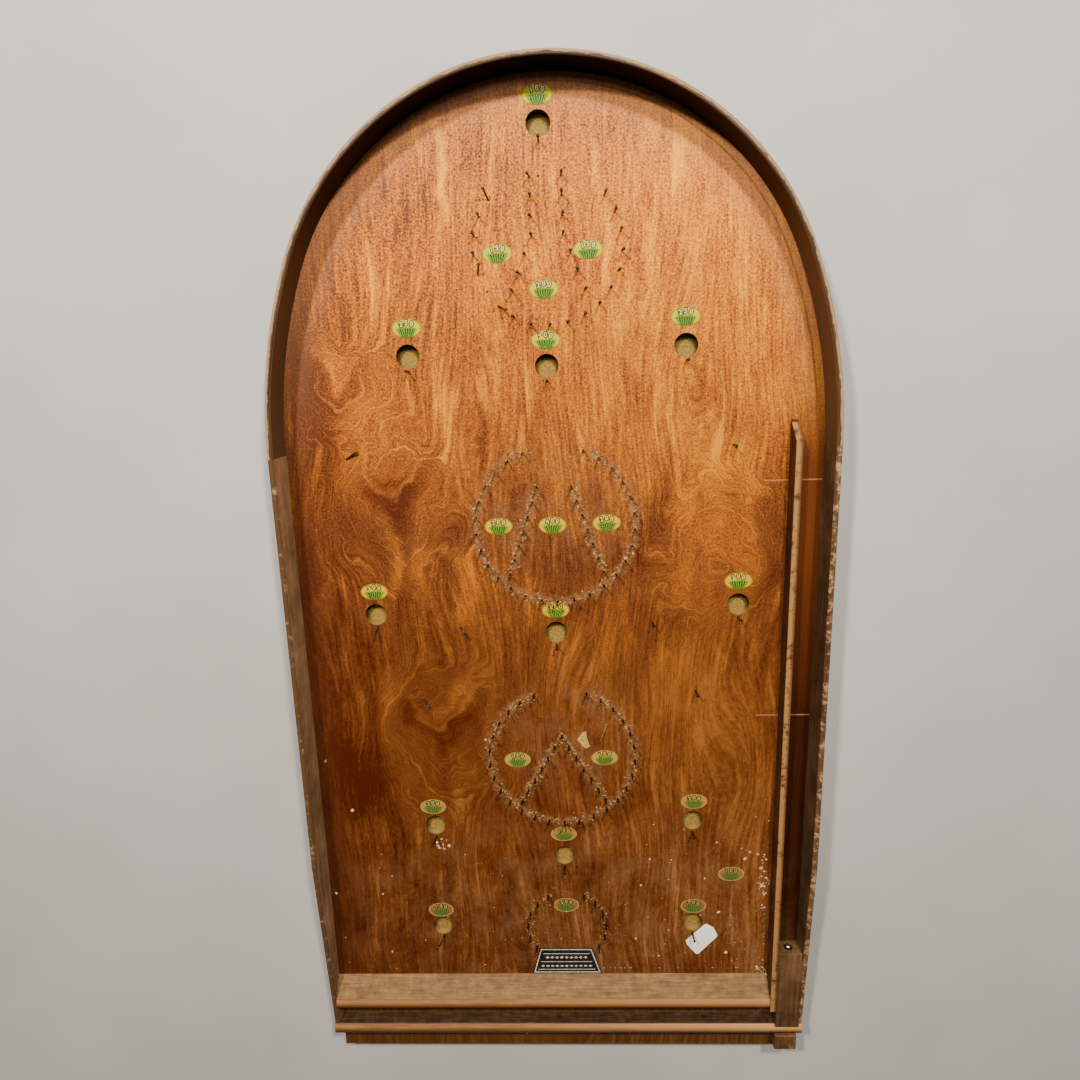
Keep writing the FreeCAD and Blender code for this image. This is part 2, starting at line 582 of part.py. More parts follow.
def plunger_spring():
    """The return spring round the rod, between the collar and the filler behind the block."""
    wire_radius = SPRING_WIRE_DIAMETER / 2
    coil_radius = CHAMBER_RADIUS - SPRING_CLEARANCE - wire_radius
    length = COLLAR_Y - COLLAR_THICKNESS - TROUGH_Y - SPRING_WIRE_DIAMETER
    steps = SPRING_TURN_COUNT * SPRING_STEP_COUNT
    sections = []
    for step in range(steps + 1):
        wire_corners = []
        for index in range(SPRING_FACE_COUNT + 1):
            turn = 2 * math.pi * index / SPRING_FACE_COUNT
            wire_corners.append(Vector(coil_radius + wire_radius * math.cos(turn),
                                       wire_radius * math.sin(turn), 0))
        section = Part.makePolygon(wire_corners)
        section.rotate(Vector(0, 0, 0), Vector(0, 1, 0), 360 * step / SPRING_STEP_COUNT)
        section.translate(Vector(LANE_X, TROUGH_Y + wire_radius + length * step / steps, ROD_Z))
        sections.append(section)
    return Part.makeLoft(sections, True, True)


def plunger_handle():
    """The wooden pull outside the bottom rail, just clear of the ledge, with a blind hole for the rod."""
    bottom = ROD_Z - HANDLE_HEIGHT / 2
    block = box(LANE_X - HANDLE_WIDTH / 2, LANE_X + HANDLE_WIDTH / 2, HANDLE_Y - HANDLE_LENGTH,
                HANDLE_Y, bottom, bottom + HANDLE_HEIGHT)
    block = rounded(block, HANDLE_EDGE_ROUND, lambda edge: lies_at_height(edge, bottom + HANDLE_HEIGHT))
    return block.cut(along_y(ROD_RADIUS, HANDLE_Y, rod_end_y()))


# --- Rim nails --------------------------------------------------------------------------------
def rim_nail(head, direction):
    """A flat-headed nail driven flush through the rim strip into the edge of the panel."""
    shank = faceted_bar(RIM_NAIL_DIAMETER / 2, RIM_NAIL_LENGTH, head, direction)
    cap = faceted_bar(RIM_NAIL_HEAD_DIAMETER / 2, RIM_NAIL_HEAD_THICKNESS, head, direction)
    return shank.fuse(cap).removeSplitter()


def rim_nails():
    """Nails along both sides and round the arch, half-way up the panel's edge."""
    height = PANEL_THICKNESS / 2
    top = SPRING_LINE_Y - RIM_NAIL_END_DISTANCE
    bottom = BOTTOM_RAIL_Y + RIM_NAIL_END_DISTANCE
    gaps = math.ceil((top - bottom) / RIM_NAIL_SPACING)
    nails = []
    for side in (-1, 1):
        for index in range(gaps + 1):
            y = bottom + (top - bottom) * index / gaps
            nails.append(rim_nail(Vector(side * HALF_WIDTH, y, height), Vector(-side, 0, 0)))
    centre = Vector(0, SPRING_LINE_Y + APEX_CENTRE_RISE, height)
    steps = math.floor((90 - BLEND_ANGLE) / ARCH_NAIL_STEP_ANGLE)
    for index in range(-steps, steps + 1):
        turn = math.radians(90 + ARCH_NAIL_STEP_ANGLE * index)
        outward = Vector(math.cos(turn), math.sin(turn), 0)
        nails.append(rim_nail(centre + outward * APEX_ARC_RADIUS, outward * -1))
    return nails


# --- Nodes ------------------------------------------------------------------------------------
def build_nodes():
    """Every piece under the name that a person would give it. A list is a group of like pieces."""
    return {
        "playfield_panel": playfield_panel(),
        "arch_rim": arch_rim(),
        "left_rim": side_rim(-1),
        "right_rim": side_rim(1),
        "rim_nails": rim_nails(),
        "lane_divider": lane_divider(),
        "stop_rail": stop_rail(),
        "bottom_rail": bottom_rail(),
        "lane_block": lane_block(),
        "trough_filler": trough_filler(),
        "top_ring_pins": top_ring_pins(),
        "top_neck_pins": top_neck_pins(),
        "middle_ring_pins": middle_ring_pins(),
        "middle_leg_pins": middle_leg_pins(),
        "lower_ring_pins": lower_ring_pins(),
        "lower_leg_pins": lower_leg_pins(),
        "bottom_ring_pins": bottom_ring_pins(),
        "cup_stop_pins": cup_stop_pins(),
        "guard_pins": guard_pins(),
        "plunger_rod": plunger_rod(),
        "plunger_collar": plunger_collar(),
        "plunger_spring": plunger_spring(),
        "plunger_handle": plunger_handle(),
    }


os.makedirs("parts", exist_ok=True)
for node, shape in build_nodes().items():
    if isinstance(shape, list):
        shape = Part.makeCompound(shape)
    shape.exportStep("parts/" + node + ".step")
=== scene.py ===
import bpy
import bmesh
import math
import random
from mathutils import Matrix, Vector


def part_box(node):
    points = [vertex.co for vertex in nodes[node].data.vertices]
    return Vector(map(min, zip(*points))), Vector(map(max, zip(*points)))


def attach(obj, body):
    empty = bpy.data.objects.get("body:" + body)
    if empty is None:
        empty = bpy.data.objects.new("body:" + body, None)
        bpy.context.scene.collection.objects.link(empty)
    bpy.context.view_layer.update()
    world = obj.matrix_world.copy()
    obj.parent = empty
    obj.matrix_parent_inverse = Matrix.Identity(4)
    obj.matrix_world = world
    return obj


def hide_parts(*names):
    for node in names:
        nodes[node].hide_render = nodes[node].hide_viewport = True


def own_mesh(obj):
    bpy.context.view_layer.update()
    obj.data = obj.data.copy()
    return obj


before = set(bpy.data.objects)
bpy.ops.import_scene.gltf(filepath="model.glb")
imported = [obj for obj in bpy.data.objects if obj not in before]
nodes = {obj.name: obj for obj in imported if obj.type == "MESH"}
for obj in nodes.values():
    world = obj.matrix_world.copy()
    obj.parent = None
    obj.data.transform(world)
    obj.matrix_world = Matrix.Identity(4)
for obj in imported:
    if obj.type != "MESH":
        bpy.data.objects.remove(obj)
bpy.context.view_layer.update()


# --- Playfield panel --------------------------------------------------------------------------
# The playing board: rotary-cut mahogany-faced plywood, stained red-brown and brushed with varnish.
# The arch was sawn out of a flat panel and the twelve cups drilled part way in after varnishing,
# so each one shows pale raw wood inside.

def colour(code):
    """An sRGB hex colour, turned to linear."""
    parts = [int(code[start:start + 2], 16) / 255 for start in (1, 3, 5)]
    return [c / 12.92 if c <= 0.04045 else ((c + 0.055) / 1.055) ** 2.4 for c in parts] + [1.0]


def feed(node, inputs):
    """Sets or links a node's inputs, by name or in their order: a node stands for its first output
    in use, and a hex code for its colour."""
    for name, value in inputs.items() if isinstance(inputs, dict) else enumerate(inputs):
        if isinstance(value, bpy.types.Node):
            value = next(output for output in value.outputs if output.enabled)
        if isinstance(value, bpy.types.NodeSocket):
            node.id_data.links.new(value, node.inputs[name])
        else:
            node.inputs[name].default_value = colour(value) if isinstance(value, str) else value


def finish_for(name):
    """A new material, the function that adds a node to it, its shader, and the place on the piece in
    metres."""
    made = bpy.data.materials.new(name)
    made.use_nodes = True

    def add(kind, inputs={}, stops=(), **settings):
        """Adds a node: its settings, its inputs, and a ramp's stops."""
        node = made.node_tree.nodes.new("ShaderNode" + kind)
        for setting, value in settings.items():
            setattr(node, setting, value)
        feed(node, inputs)
        for index, (place, shade) in enumerate(stops):
            while len(node.color_ramp.elements) <= index:
                node.color_ramp.elements.new(1.0)
            node.color_ramp.elements[index].position = place
            node.color_ramp.elements[index].color = colour(shade)
        return node

    return made, add, made.node_tree.nodes["Principled BSDF"], add("TexCoord").outputs["Object"]


def in_mm(add, position):
    """A place in mm, and its parts across, along and up."""
    mm = add("VectorMath", {0: position, "Scale": 1000.0}, operation="SCALE")
    return mm, *add("SeparateXYZ", [mm]).outputs


def dress(name, finish):
    """Gives a CAD piece its finish."""
    nodes[name].material_slots[0].material = finish


LAYOUT_TURN = math.radians(0.65)


def spot(across, down):
    """A place on the playfield in millimetres, from the askew centre line of its layout and the
    distance below the top of the arch."""
    return (-4.5 + across * math.cos(LAYOUT_TURN) + down * math.sin(LAYOUT_TURN),
            382.5 + across * math.sin(LAYOUT_TURN) - down * math.cos(LAYOUT_TURN))


# the bent outline in mm: an arc on each side, centred beyond the middle at the spring line, and one
# over the top, which they meet at an angle above that line
SIDE_RADIUS, SIDE_CENTRE, SPRING_LINE = 360.0, 162.5, 134.3
TOP_RADIUS, TOP_CENTRE, MEETING_ANGLE = 186.0, 196.5, 0.3656


def inward(add, across, along):
    """The distance in mm from the board's bent outline."""
    aside = add("Math", [across], operation="ABSOLUTE")
    aside = add("Math", [aside, SIDE_CENTRE], operation="ADD")
    above = add("Math", [along, SPRING_LINE], operation="SUBTRACT")
    above = add("Math", [above, 0.0], operation="MAXIMUM")
    from_side = add("CombineXYZ", [aside, above])
    from_side = add("VectorMath", [from_side], operation="LENGTH")
    from_side = add("Math", [SIDE_RADIUS, from_side], operation="SUBTRACT")
    from_top = add("CombineXYZ", [across, along])
    from_top = add("VectorMath", [from_top, (0, TOP_CENTRE, 0)], operation="DISTANCE")
    from_top = add("Math", [TOP_RADIUS, from_top], operation="SUBTRACT")
    turn = add("Math", [above, aside], operation="ARCTAN2")
    over_top = add("Math", [turn, MEETING_ANGLE], operation="GREATER_THAN")
    return add("Mix", {0: over_top, 2: from_side, 3: from_top})


def nearness(add, plane, place, half_sizes, outer, inner, turn=0.0):
    """1 at a place in mm, fading softly to 0 round it, from an oval of the half sizes in mm times
    inner to one of them times outer."""
    local = add("Mapping", {"Vector": plane, "Location": (*place, 0), "Rotation": (0, 0, turn),
                            "Scale": (*half_sizes, 1)}, vector_type="TEXTURE")
    far = add("VectorMath", [local], operation="LENGTH")
    return add("MapRange", [far, outer, inner], interpolation_type="SMOOTHSTEP")


def off_by(add, value, aim):
    """How far a value is from the one aimed at, on either side."""
    off = add("Math", [value, aim], operation="SUBTRACT")
    return add("Math", [off], operation="ABSOLUTE")


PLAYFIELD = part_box("playfield_panel")[1].z
CUP_RADIUS = 8.25
cup_spots = [spot(0, 34.5), spot(0, 190.0), spot(0, 387.1), spot(0, 579.0),
             spot(-97.5, 179.8), spot(97.5, 179.8), spot(-136.5, 369.1), spot(136.5, 369.1),
             spot(-103.5, 549.3), spot(103.5, 549.3), spot(-104, 643.8), spot(104, 643.8)]

# varnished mahogany ply: satin gloss over a flowing grain, with short dark pores and knots
playfield_finish, add, shader, position = finish_for("varnished_mahogany_ply")
across, along, height = in_mm(add, position)[1:]
flat = add("CombineXYZ", [across, along])
down_board = add("MapRange", [along, -382.5, 382.5])

# the fibres wander some 12 mm sideways over waves 80 mm wide and 220 mm long
waves = add("Mapping", {"Vector": flat, "Scale": (1 / 80, 1 / 220, 1.0)})
wander = add("TexNoise", {"Vector": waves, "Scale": 1.0, "Detail": 1.0})
drift = add("MapRange", [wander, 0.25, 0.75, -16.0, 16.0])
grain = add("Math", [across, drift], operation="ADD")
# a ragged copy of the board's plane, torn about by 10 mm, for shapes with no clean edge
tear = add("TexNoise", {"Vector": flat, "Scale": 1 / 32}).outputs["Color"]
tear = add("VectorMath", [tear, (0.5, 0.5, 0.5)], operation="SUBTRACT")
loose = add("VectorMath", [tear, (28.0, 52.0, 0.0), flat], operation="MULTIPLY_ADD")

# knots the grain flows round in nested curves: place in mm, how steeply the curves climb away from
# it (a V, or an arch where negative), their reach in mm, and how dark and bright they show
knots = [(-115, 90, 2.0, 66, 1.0), (-90, -94, 1.5, 74, 1.0), (120, 62, -1.5, 62, 0.35),
         (-150, 178, 1.6, 44, 0.6)]
knot_tone = knotted = 0.0
for knot_x, knot_y, steep, reach, strength in knots:
    local = add("Mapping", {"Vector": loose, "Location": (-knot_x, -knot_y, 0), "Scale": (1, 1, 0)})
    aside, above = add("SeparateXYZ", [local]).outputs[:2]
    bulge = add("Math", [aside, aside, 25.0], operation="MULTIPLY_ADD")
    bulge = add("Math", [bulge], operation="SQRT")
    flow = add("Math", [bulge, -steep, above], operation="MULTIPLY_ADD")
    far = add("VectorMath", [local], operation="LENGTH")
    near = add("MapRange", [far, reach * 0.3, reach, 1.0, 0.0], interpolation_type="SMOOTHSTEP")
    grain = add("Mix", {0: near, 2: grain, 3: flow})
    knotted = add("Math", [near, knotted], operation="MAXIMUM")
    # a dark fold under each knot and a bright flame inside it
    rise = add("MapRange", [flow, -40.0, 60.0])
    fold = add("ValToRGB", [rise],
               [(0.1, "#BCBCBC"), (0.26, "#4A4A4A"), (0.36, "#202020"), (0.42, "#F8F8F8"),
                (0.5, "#8A8A8A"), (0.58, "#E8E8E8"), (0.7, "#A0A0A0"), (0.95, "#BCBCBC")])
    fold = add("MapRange", {0: fold, 3: -0.35 * strength, 4: 0.35 * strength})
    knot_tone = add("Math", [fold, near, knot_tone], operation="MULTIPLY_ADD")

# drawn out along the grain, with their width and length in mm: streaks of growth, pores, and bright golden
# streaks
drawn_out = []
for width, length, detail, rough in ((2.6, 40, 2.5, 0.5), (1.3, 5, 2.0, 0.6), (9, 100, 5.0, 0.65)):
    at = [add("Math", [grain, 1 / width], operation="MULTIPLY"),
          add("Math", [along, 1 / length], operation="MULTIPLY")]
    drawn_out.append(add("TexNoise", {"Vector": add("CombineXYZ", at), "Scale": 1.0, "Detail": detail,
                                      "Roughness": rough}))
streak, pores, gold = drawn_out
gold = add("MapRange", [gold, 0.56, 0.74, 0.0, 0.8])
# the streaks blur where they wind round a knot
plain = add("MapRange", {0: knotted, 3: 1.5, 4: 0.5})
streak_tone = add("Math", [streak, 0.5], operation="SUBTRACT")
streak_tone = add("Math", [streak_tone, plain, 0.75], operation="MULTIPLY_ADD")
# clouds 28 mm wide and 70 mm long where the stain took unevenly, stronger towards the foot
cloud_at = add("Mapping", {"Vector": loose, "Scale": (1 / 28, 1 / 70, 0)})
cloud = add("TexNoise", {"Vector": cloud_at, "Scale": 1.0, "Detail": 6.0, "Roughness": 0.62})
cloud = add("MapRange", [cloud, 0.25, 0.75, -0.5, 0.5])
clouding = add("MapRange", [down_board, 0.95, 0.6, 0.4, 0.6])
cloud = add("Math", [cloud, clouding], operation="MULTIPLY")
# the crazed varnish: a stipple 1.5 mm across, strongest towards the arch, partly the crazing's own tone and
# partly a painted sheen of the lamps glinting on it
crackle = add("TexNoise", {"Vector": flat, "Scale": 1 / 1.5, "Roughness": 0.6})
specks_and_sheen = add("MapRange", [crackle, 0.3, 0.65, -0.5, 0.3])
crazing_and_sheen = add("MapRange", [down_board, 0.4, 0.9, 0.25, 1.0])
specks_and_sheen = add("Math", [specks_and_sheen, crazing_and_sheen], operation="MULTIPLY")

# stains and flames, and a long dark patch beside the divider at 160 across: place, half width and half length
# in mm, and how much darker or brighter
stains = [(-172, 170, 20, 80, -0.45), (-168, -60, 34, 130, -0.22), (-118, 60, 28, 34, -0.25),
          (4, 48, 44, 40, -0.3), (-136, 152, 18, 40, 0.4), (-104, 128, 16, 30, 0.25),
          (-54, -20, 18, 80, 0.25), (42, 47, 14, 34, -0.3), (160, 30, 20, 170, -0.5),
          (104, 30, 24, 24, 0.2), (128, 190, 12, 60, -0.2), (-162, -30, 14, 50, 0.3),
          (70, 68, 20, 40, -0.4), (84, 10, 44, 24, -0.2), (-158, -128, 46, 46, -0.35),
          (-121, 52, 9, 32, 0.7), (-102, 56, 18, 40, 0.42), (-66, 42, 14, 46, 0.42),
          (-76, 162, 9, 34, 0.55), (-154, 194, 14, 24, 0.4), (118, 100, 48, 60, 0.25),
          (106, -62, 38, 50, 0.4), (-76, -56, 16, 24, 0.5), (-132, -46, 12, 30, 0.45),
          (-124, -132, 16, 40, 0.3), (-82, -136, 9, 40, 0.3), (-70, 318, 5, 56, 0.95),
          (72, 250, 6, 80, 0.4), (20, 120, 30, 60, 0.15), (40, -160, 60, 60, -0.15),
          (-20, -230, 70, 60, -0.1)]
stain_tone = knot_tone
for stain_x, stain_y, half_width, half_length, tone in stains:
    near = nearness(add, loose, (stain_x, stain_y), (half_width, half_length), 1.15, 0.0)
    stain_tone = add("Math", [near, tone, stain_tone], operation="MULTIPLY_ADD")

aslant = add("MapRange", [across, -190.0, 150.0, -0.28, 0.14])
figure = add("Math", [aslant, 0.75], operation="SUBTRACT")
for part, weight in ((streak_tone, 1.0), (pores, 1.0), (cloud, 1.35), (gold, 1.1), (specks_and_sheen, 1.2),
                     (stain_tone, 1.0)):
    figure = add("Math", [part, weight, figure], operation="MULTIPLY_ADD")
# a century of hands and light, and painted light: three shades of the stain, golden towards the arch and dark
# at the foot, partly the stain's ageing and partly painted light and sheen that fade from the arch to the
# foot
dark = add("ValToRGB", [down_board],
           [(0.0, "#381202"), (0.45, "#4A1A04"), (0.6, "#4F210C"), (0.85, "#643820"), (1.0, "#583528")])
middle = add("ValToRGB", [down_board],
             [(0.0, "#603212"), (0.45, "#6C3C1A"), (0.6, "#784420"), (0.85, "#CE7018"), (1.0, "#CC7828")])
pale = add("ValToRGB", [down_board],
           [(0.0, "#8C6440"), (0.45, "#9C5C24"), (0.6, "#D07410"), (0.85, "#FFB408"), (1.0, "#FFAC14")])
lower_half = add("MapRange", [figure, -0.15, 0.5])
upper_half = add("MapRange", [figure, 0.5, 1.25])
tone = add("Mix", {0: lower_half, 6: dark, 7: middle}, data_type="RGBA")
tone = add("Mix", {0: upper_half, 6: tone, 7: pale}, data_type="RGBA")
# along the rim strips, in a band 38 mm wide, partly grime and partly painted shade of the rims; and the thin
# track that balls have run round the arch
depth = inward(add, across, along)
rim_dirt_and_shade = add("MapRange", [depth, 38.0, 5.0, 0.0, 0.6], interpolation_type="SMOOTHSTEP")
# towards the arch the band's tint turns pale: painted light that lifts the shadow the rims cast there
arch_ward = add("MapRange", [down_board, 0.65, 0.9])
rim_tint_dirt_shade_and_light = add("Mix", {0: arch_ward, 6: "#4A2414", 7: "#A07254"}, data_type="RGBA")
track = add("MapRange", [off_by(add, depth, 9.6), 1.0, 0.3, 0.0, 0.5])
right_side = add("MapRange", [across, -20.0, 40.0])
past_divider = add("MapRange", [along, 140.0, 170.0])
track = add("Math", [track, right_side], operation="MULTIPLY")
track = add("Math", [track, past_divider], operation="MULTIPLY")
in_lane = add("MapRange", [across, 172.0, 174.0, 0.0, 0.85])
lane_run = add("MapRange", [along, 170.0, 120.0])
in_lane = add("Math", [in_lane, lane_run], operation="MULTIPLY")
lane_up = add("MapRange", [along, -80.0, 60.0])
lane_tint = add("Mix", {0: lane_up, 6: "#280D04", 7: "#5C2C12"}, data_type="RGBA")
# a film of dust that no cloth reaches: scuffs 25 mm across round the nails and over the foot
film = 0.0
for film_x, film_y, half_width, half_length in ((2, 92, 58, 62), (4, -84, 56, 62), (0, -262, 46, 40),
                                                (0, -250, 210, 90)):
    near = nearness(add, loose, (film_x, film_y), (half_width, half_length), 1.2, 0.5)
    film = add("Math", [film, near], operation="MAXIMUM")
scuff = add("TexNoise", {"Vector": flat, "Scale": 1 / 25, "Detail": 8.0, "Roughness": 0.75})
scuff = add("MapRange", [scuff, 0.44, 0.72, 0.0, 0.4])
film = add("Math", [film, scuff], operation="MULTIPLY")
# and a thicker felt of it along the rings and rows of nails, its edges frayed by 3 mm
fray = add("TexNoise", {"Vector": flat, "Scale": 1 / 5, "Detail": 4.0, "Roughness": 0.7}).outputs["Color"]
fray = add("VectorMath", [fray, (0.5, 0.5, 0.5)], operation="SUBTRACT")
frayed = add("VectorMath", [fray, (16.0, 16.0, 0.0), flat], operation="MULTIPLY_ADD")
felt = 0.0
for (ring_x, ring_y), radius in ((spot(2, 304.2), 58.5), (spot(1, 490.9), 57.0), (spot(0, 645.4), 32.5)):
    far = add("VectorMath", [frayed, (ring_x, ring_y, 0)], operation="DISTANCE")
    near = add("MapRange", [off_by(add, far, radius), 7.0, 0.5, 0.0, 0.45 if radius < 40 else 1.0],
               interpolation_type="SMOOTHSTEP")
    from_gap = add("VectorMath", [frayed, (ring_x, ring_y + radius, 0)], operation="DISTANCE")
    past_gap = add("MapRange", [from_gap, 17.0, 26.0])
    near = add("Math", [near, past_gap], operation="MULTIPLY")
    felt = add("Math", [felt, near], operation="MAXIMUM")
for (row_x, row_y), turn, half_length in ((spot(-21.7, 308.1), -0.33, 44), (spot(25.7, 308.1), 0.35, 44),
                                          (spot(-15.8, 500.6), -0.53, 42), (spot(17.8, 500.6), 0.55, 42)):
    near = nearness(add, frayed, (row_x, row_y), (7.0, half_length), 1.0, 0.35, turn)
    felt = add("Math", [felt, near], operation="MAXIMUM")
# the felt lies in tufts about 4 mm across
tufts = add("TexNoise", {"Vector": flat, "Scale": 1 / 4, "Detail": 5.0, "Roughness": 0.75})
tufts = add("MapRange", [tufts, 0.40, 0.66, 0.0, 0.85])
felt = add("Math", [felt, tufts], operation="MULTIPLY")
film = add("Math", [film, felt], operation="MAXIMUM")
# the trough floor and the ledge past it are darker: a thin wash of stain, with painted shade in the trough
# between the rails
past_rail = add("MapRange", [along, -312.0, -334.0, 0.0, 0.85])
trough_wash_and_shade = add("Mix", {0: streak, 6: "#301C0C", 7: "#6E4822"}, data_type="RGBA")
for weight, shade in ((rim_dirt_and_shade, rim_tint_dirt_shade_and_light), (track, "#46200F"), (in_lane, lane_tint), (film, "#8C6844"),
                      (past_rail, trough_wash_and_shade)):
    tone = add("Mix", {0: weight, 6: tone, 7: shade}, data_type="RGBA")
# two scribed lines across the lane, 0.7 mm wide, that a ball must pass
for line_y in (107.7, -75.3):
    scribed = add("MapRange", [off_by(add, along, line_y), 0.7, 0.2, 0.0, 0.55])
    in_reach = add("Math", [across, 152.0], operation="GREATER_THAN")
    scribed = add("Math", [scribed, in_reach], operation="MULTIPLY")
    tone = add("Mix", {0: scribed, 6: tone, 7: "#C08A58"}, data_type="RGBA")

# how far each point is from the nearest cup, in mm
nearest = from_lit_middle = 1000.0
for cup_x, cup_y in cup_spots:
    far = add("VectorMath", [flat, (cup_x, cup_y, 0)], operation="DISTANCE")
    nearest = add("Math", [nearest, far], operation="MINIMUM")
    # painted shade, partly dirt: the cup floor darkens towards its wall, most on the side towards the arch,
    # where that wall shades the floor
    far = add("VectorMath", [flat, (cup_x, cup_y - 3.0, 0)], operation="DISTANCE")
    from_lit_middle = add("Math", [from_lit_middle, far], operation="MINIMUM")
# the lip of each cup is frayed in spots 1.1 mm across
ragged = add("TexNoise", {"Vector": flat, "Scale": 0.9})
lip_edge = add("MapRange", [ragged, 0.3, 0.7, CUP_RADIUS - 0.2, CUP_RADIUS + 0.35])
lip = add("Math", [nearest, lip_edge], operation="LESS_THAN")
tone = add("Mix", {0: lip, 6: tone, 7: "#6E4622"}, data_type="RGBA")
# below the varnished face: raw wood in the cups, five plies on the sawn edge, bare wood under the board
in_cup = add("Math", [nearest, CUP_RADIUS + 0.05], operation="LESS_THAN")
turnings = add("TexNoise", {"Vector": flat, "Scale": 1 / 2, "Detail": 4.0, "Roughness": 0.7})
raw = add("ValToRGB", [turnings], [(0.3, "#6A5226"), (0.5, "#8E7238"), (0.7, "#A88C48")])
cup_wall = add("MapRange", [height, 6.2, 7.0, 0.0, 0.8])
cup_dirt_and_shade = add("MapRange", [from_lit_middle, 4.5, 9.2, 0.0, 0.9], interpolation_type="SMOOTHSTEP")
for weight, shade in ((cup_wall, "#A88C50"), (cup_dirt_and_shade, "#33220F")):
    raw = add("Mix", {0: weight, 6: raw, 7: shade}, data_type="RGBA")
plies = add("Math", [height, 5 / 12], operation="MULTIPLY")
plies = add("Math", [plies], operation="FRACT")
sawn = add("ValToRGB", [plies], [(0.0, "#4E3620"), (0.12, "#8A6840"), (0.88, "#9C7A4E"), (1.0, "#4E3620")])
bare = add("Mix", {0: in_cup, 6: sawn, 7: raw}, data_type="RGBA")
below = add("Math", [height, 11.9], operation="LESS_THAN")

# the crazed varnish lies over an open grain
relief = add("Math", [pores, 0.5, crackle], operation="MULTIPLY_ADD")
bump = add("Bump", {"Height": relief, "Strength": 0.35, "Distance": 0.0004})
gloss = add("MapRange", [cloud, -0.4, 0.4, 0.52, 0.42])
dull = add("Math", [below, film], operation="ADD")
rough = add("Math", [dull, 0.4, gloss], operation="MULTIPLY_ADD")
feed(shader, {"Base Color": add("Mix", {0: below, 6: tone, 7: bare}, data_type="RGBA"), "Roughness": rough,
              "IOR": 1.5, "Specular IOR Level": 0.12, "Normal": bump})
dress("playfield_panel", playfield_finish)


# --- Rim strips -------------------------------------------------------------------------------
# A thin strip of beech ply steamed round the arch, butted against one straight strip down each
# side. All three are nailed to the panel's edge, stained brown, and knocked pale along the top.

def stained_wood(name, shades, worn, worn_from, length=45.0, wear=0.5, sheen=0.5, kept=None):
    """Stained softwood or ply: three shades of stain, dark to pale, and a worn colour on the faces
    that look up from above a height in mm. The grain runs along the board, and the stain is kept
    past a place across it."""
    made, add, shader, position = finish_for(name)
    mm, across, _, height = in_mm(add, position)
    # fibres 1.2 mm thick, as long as the piece's own grain
    at = add("Mapping", {"Vector": mm, "Scale": (1 / 1.2, 1 / length, 1 / 1.2)})
    grain = add("TexNoise", {"Vector": at, "Scale": 1.0, "Detail": 5.0, "Roughness": 0.65})
    blotch = add("TexNoise", {"Vector": mm, "Scale": 1 / 35, "Detail": 5.0, "Roughness": 0.65})
    mixed = add("Math", [grain, blotch], operation="ADD")
    mixed = add("Math", [mixed, 0.5], operation="MULTIPLY")
    stain = add("ValToRGB", [mixed], zip((0.38, 0.5, 0.62), shades))
    # wear on every face that looks up, broken into chips about 6 mm long
    chips = add("TexNoise", {"Vector": mm, "Scale": 1 / 6, "Detail": 5.0, "Roughness": 0.7})
    facing = add("NewGeometry").outputs["True Normal"]
    upward = add("SeparateXYZ", [facing]).outputs["Z"]
    upward = add("MapRange", [upward, 0.25, 0.6])
    high = add("MapRange", [height, worn_from - 0.3, worn_from + 0.3])
    bared = add("MapRange", [chips, 0.66 - 0.36 * wear, 0.76 - 0.3 * wear])
    amount = add("Math", [upward, high], operation="MULTIPLY")
    amount = add("Math", [amount, bared], operation="MULTIPLY")
    if kept is not None:
        spared = add("MapRange", [across, kept - 0.6, kept + 0.6, 1.0, 0.3])
        amount = add("Math", [amount, spared], operation="MULTIPLY")
    faded = add("Mix", {0: grain, 6: worn, 7: "#FFF4E0"}, data_type="RGBA", blend_type="MULTIPLY")
    feed(shader, {"Base Color": add("Mix", {0: amount, 6: stain, 7: faded}, data_type="RGBA"),
                  "Roughness": add("MapRange", {0: amount, 3: 0.75 - 0.4 * sheen, 4: 0.8}),
                  "IOR": 1.5, "Specular IOR Level": 0.3,
                  "Normal": add("Bump", {"Height": grain, "Strength": 0.4, "Distance": 0.0004})})
    return made


# the bent strip: grain round the arch, a pale bruised outer edge, and an inside that never sees light
bent_finish, add, shader, position = finish_for("bent_rim_ply")
mm, across, along, height = in_mm(add, position)
up = add("Math", [along, 165.0], operation="SUBTRACT")
angle = add("Math", [up, across], operation="ARCTAN2")
# fibres 1.2 mm thick and 45 mm long, round a radius of some 200 mm
round_arch = add("Math", [angle, 200 / 45], operation="MULTIPLY")
depth = inward(add, across, along)
fibre_up = add("Math", [height, 1 / 1.2], operation="MULTIPLY")
fibre_at = add("CombineXYZ", [round_arch, fibre_up, depth])
grain = add("TexNoise", {"Vector": fibre_at, "Scale": 1.0, "Detail": 4.0, "Roughness": 0.65})
stain = add("ValToRGB", [grain], [(0.35, "#2A1A0C"), (0.5, "#432E18"), (0.65, "#5E4426")])
# bruises about 8 mm long along the outer edge of the top
bruises = add("TexNoise", {"Vector": mm, "Scale": 1 / 8, "Detail": 6.0, "Roughness": 0.7})
pale_to = add("MapRange", [bruises, 0.3, 0.75, 1.1, 3.0])
inner_side = add("Math", [depth, pale_to], operation="SUBTRACT")
bruised = add("MapRange", [inner_side, 0.25, -0.25, 0.0, 0.9])
on_top = add("MapRange", [height, 36.6, 37.4])
bruised = add("Math", [bruised, on_top], operation="MULTIPLY")
bone = add("Mix", {0: grain, 6: "#765838", 7: "#C4A47C"}, data_type="RGBA")
inner_wall = add("MapRange", [depth, 3.7, 3.9])
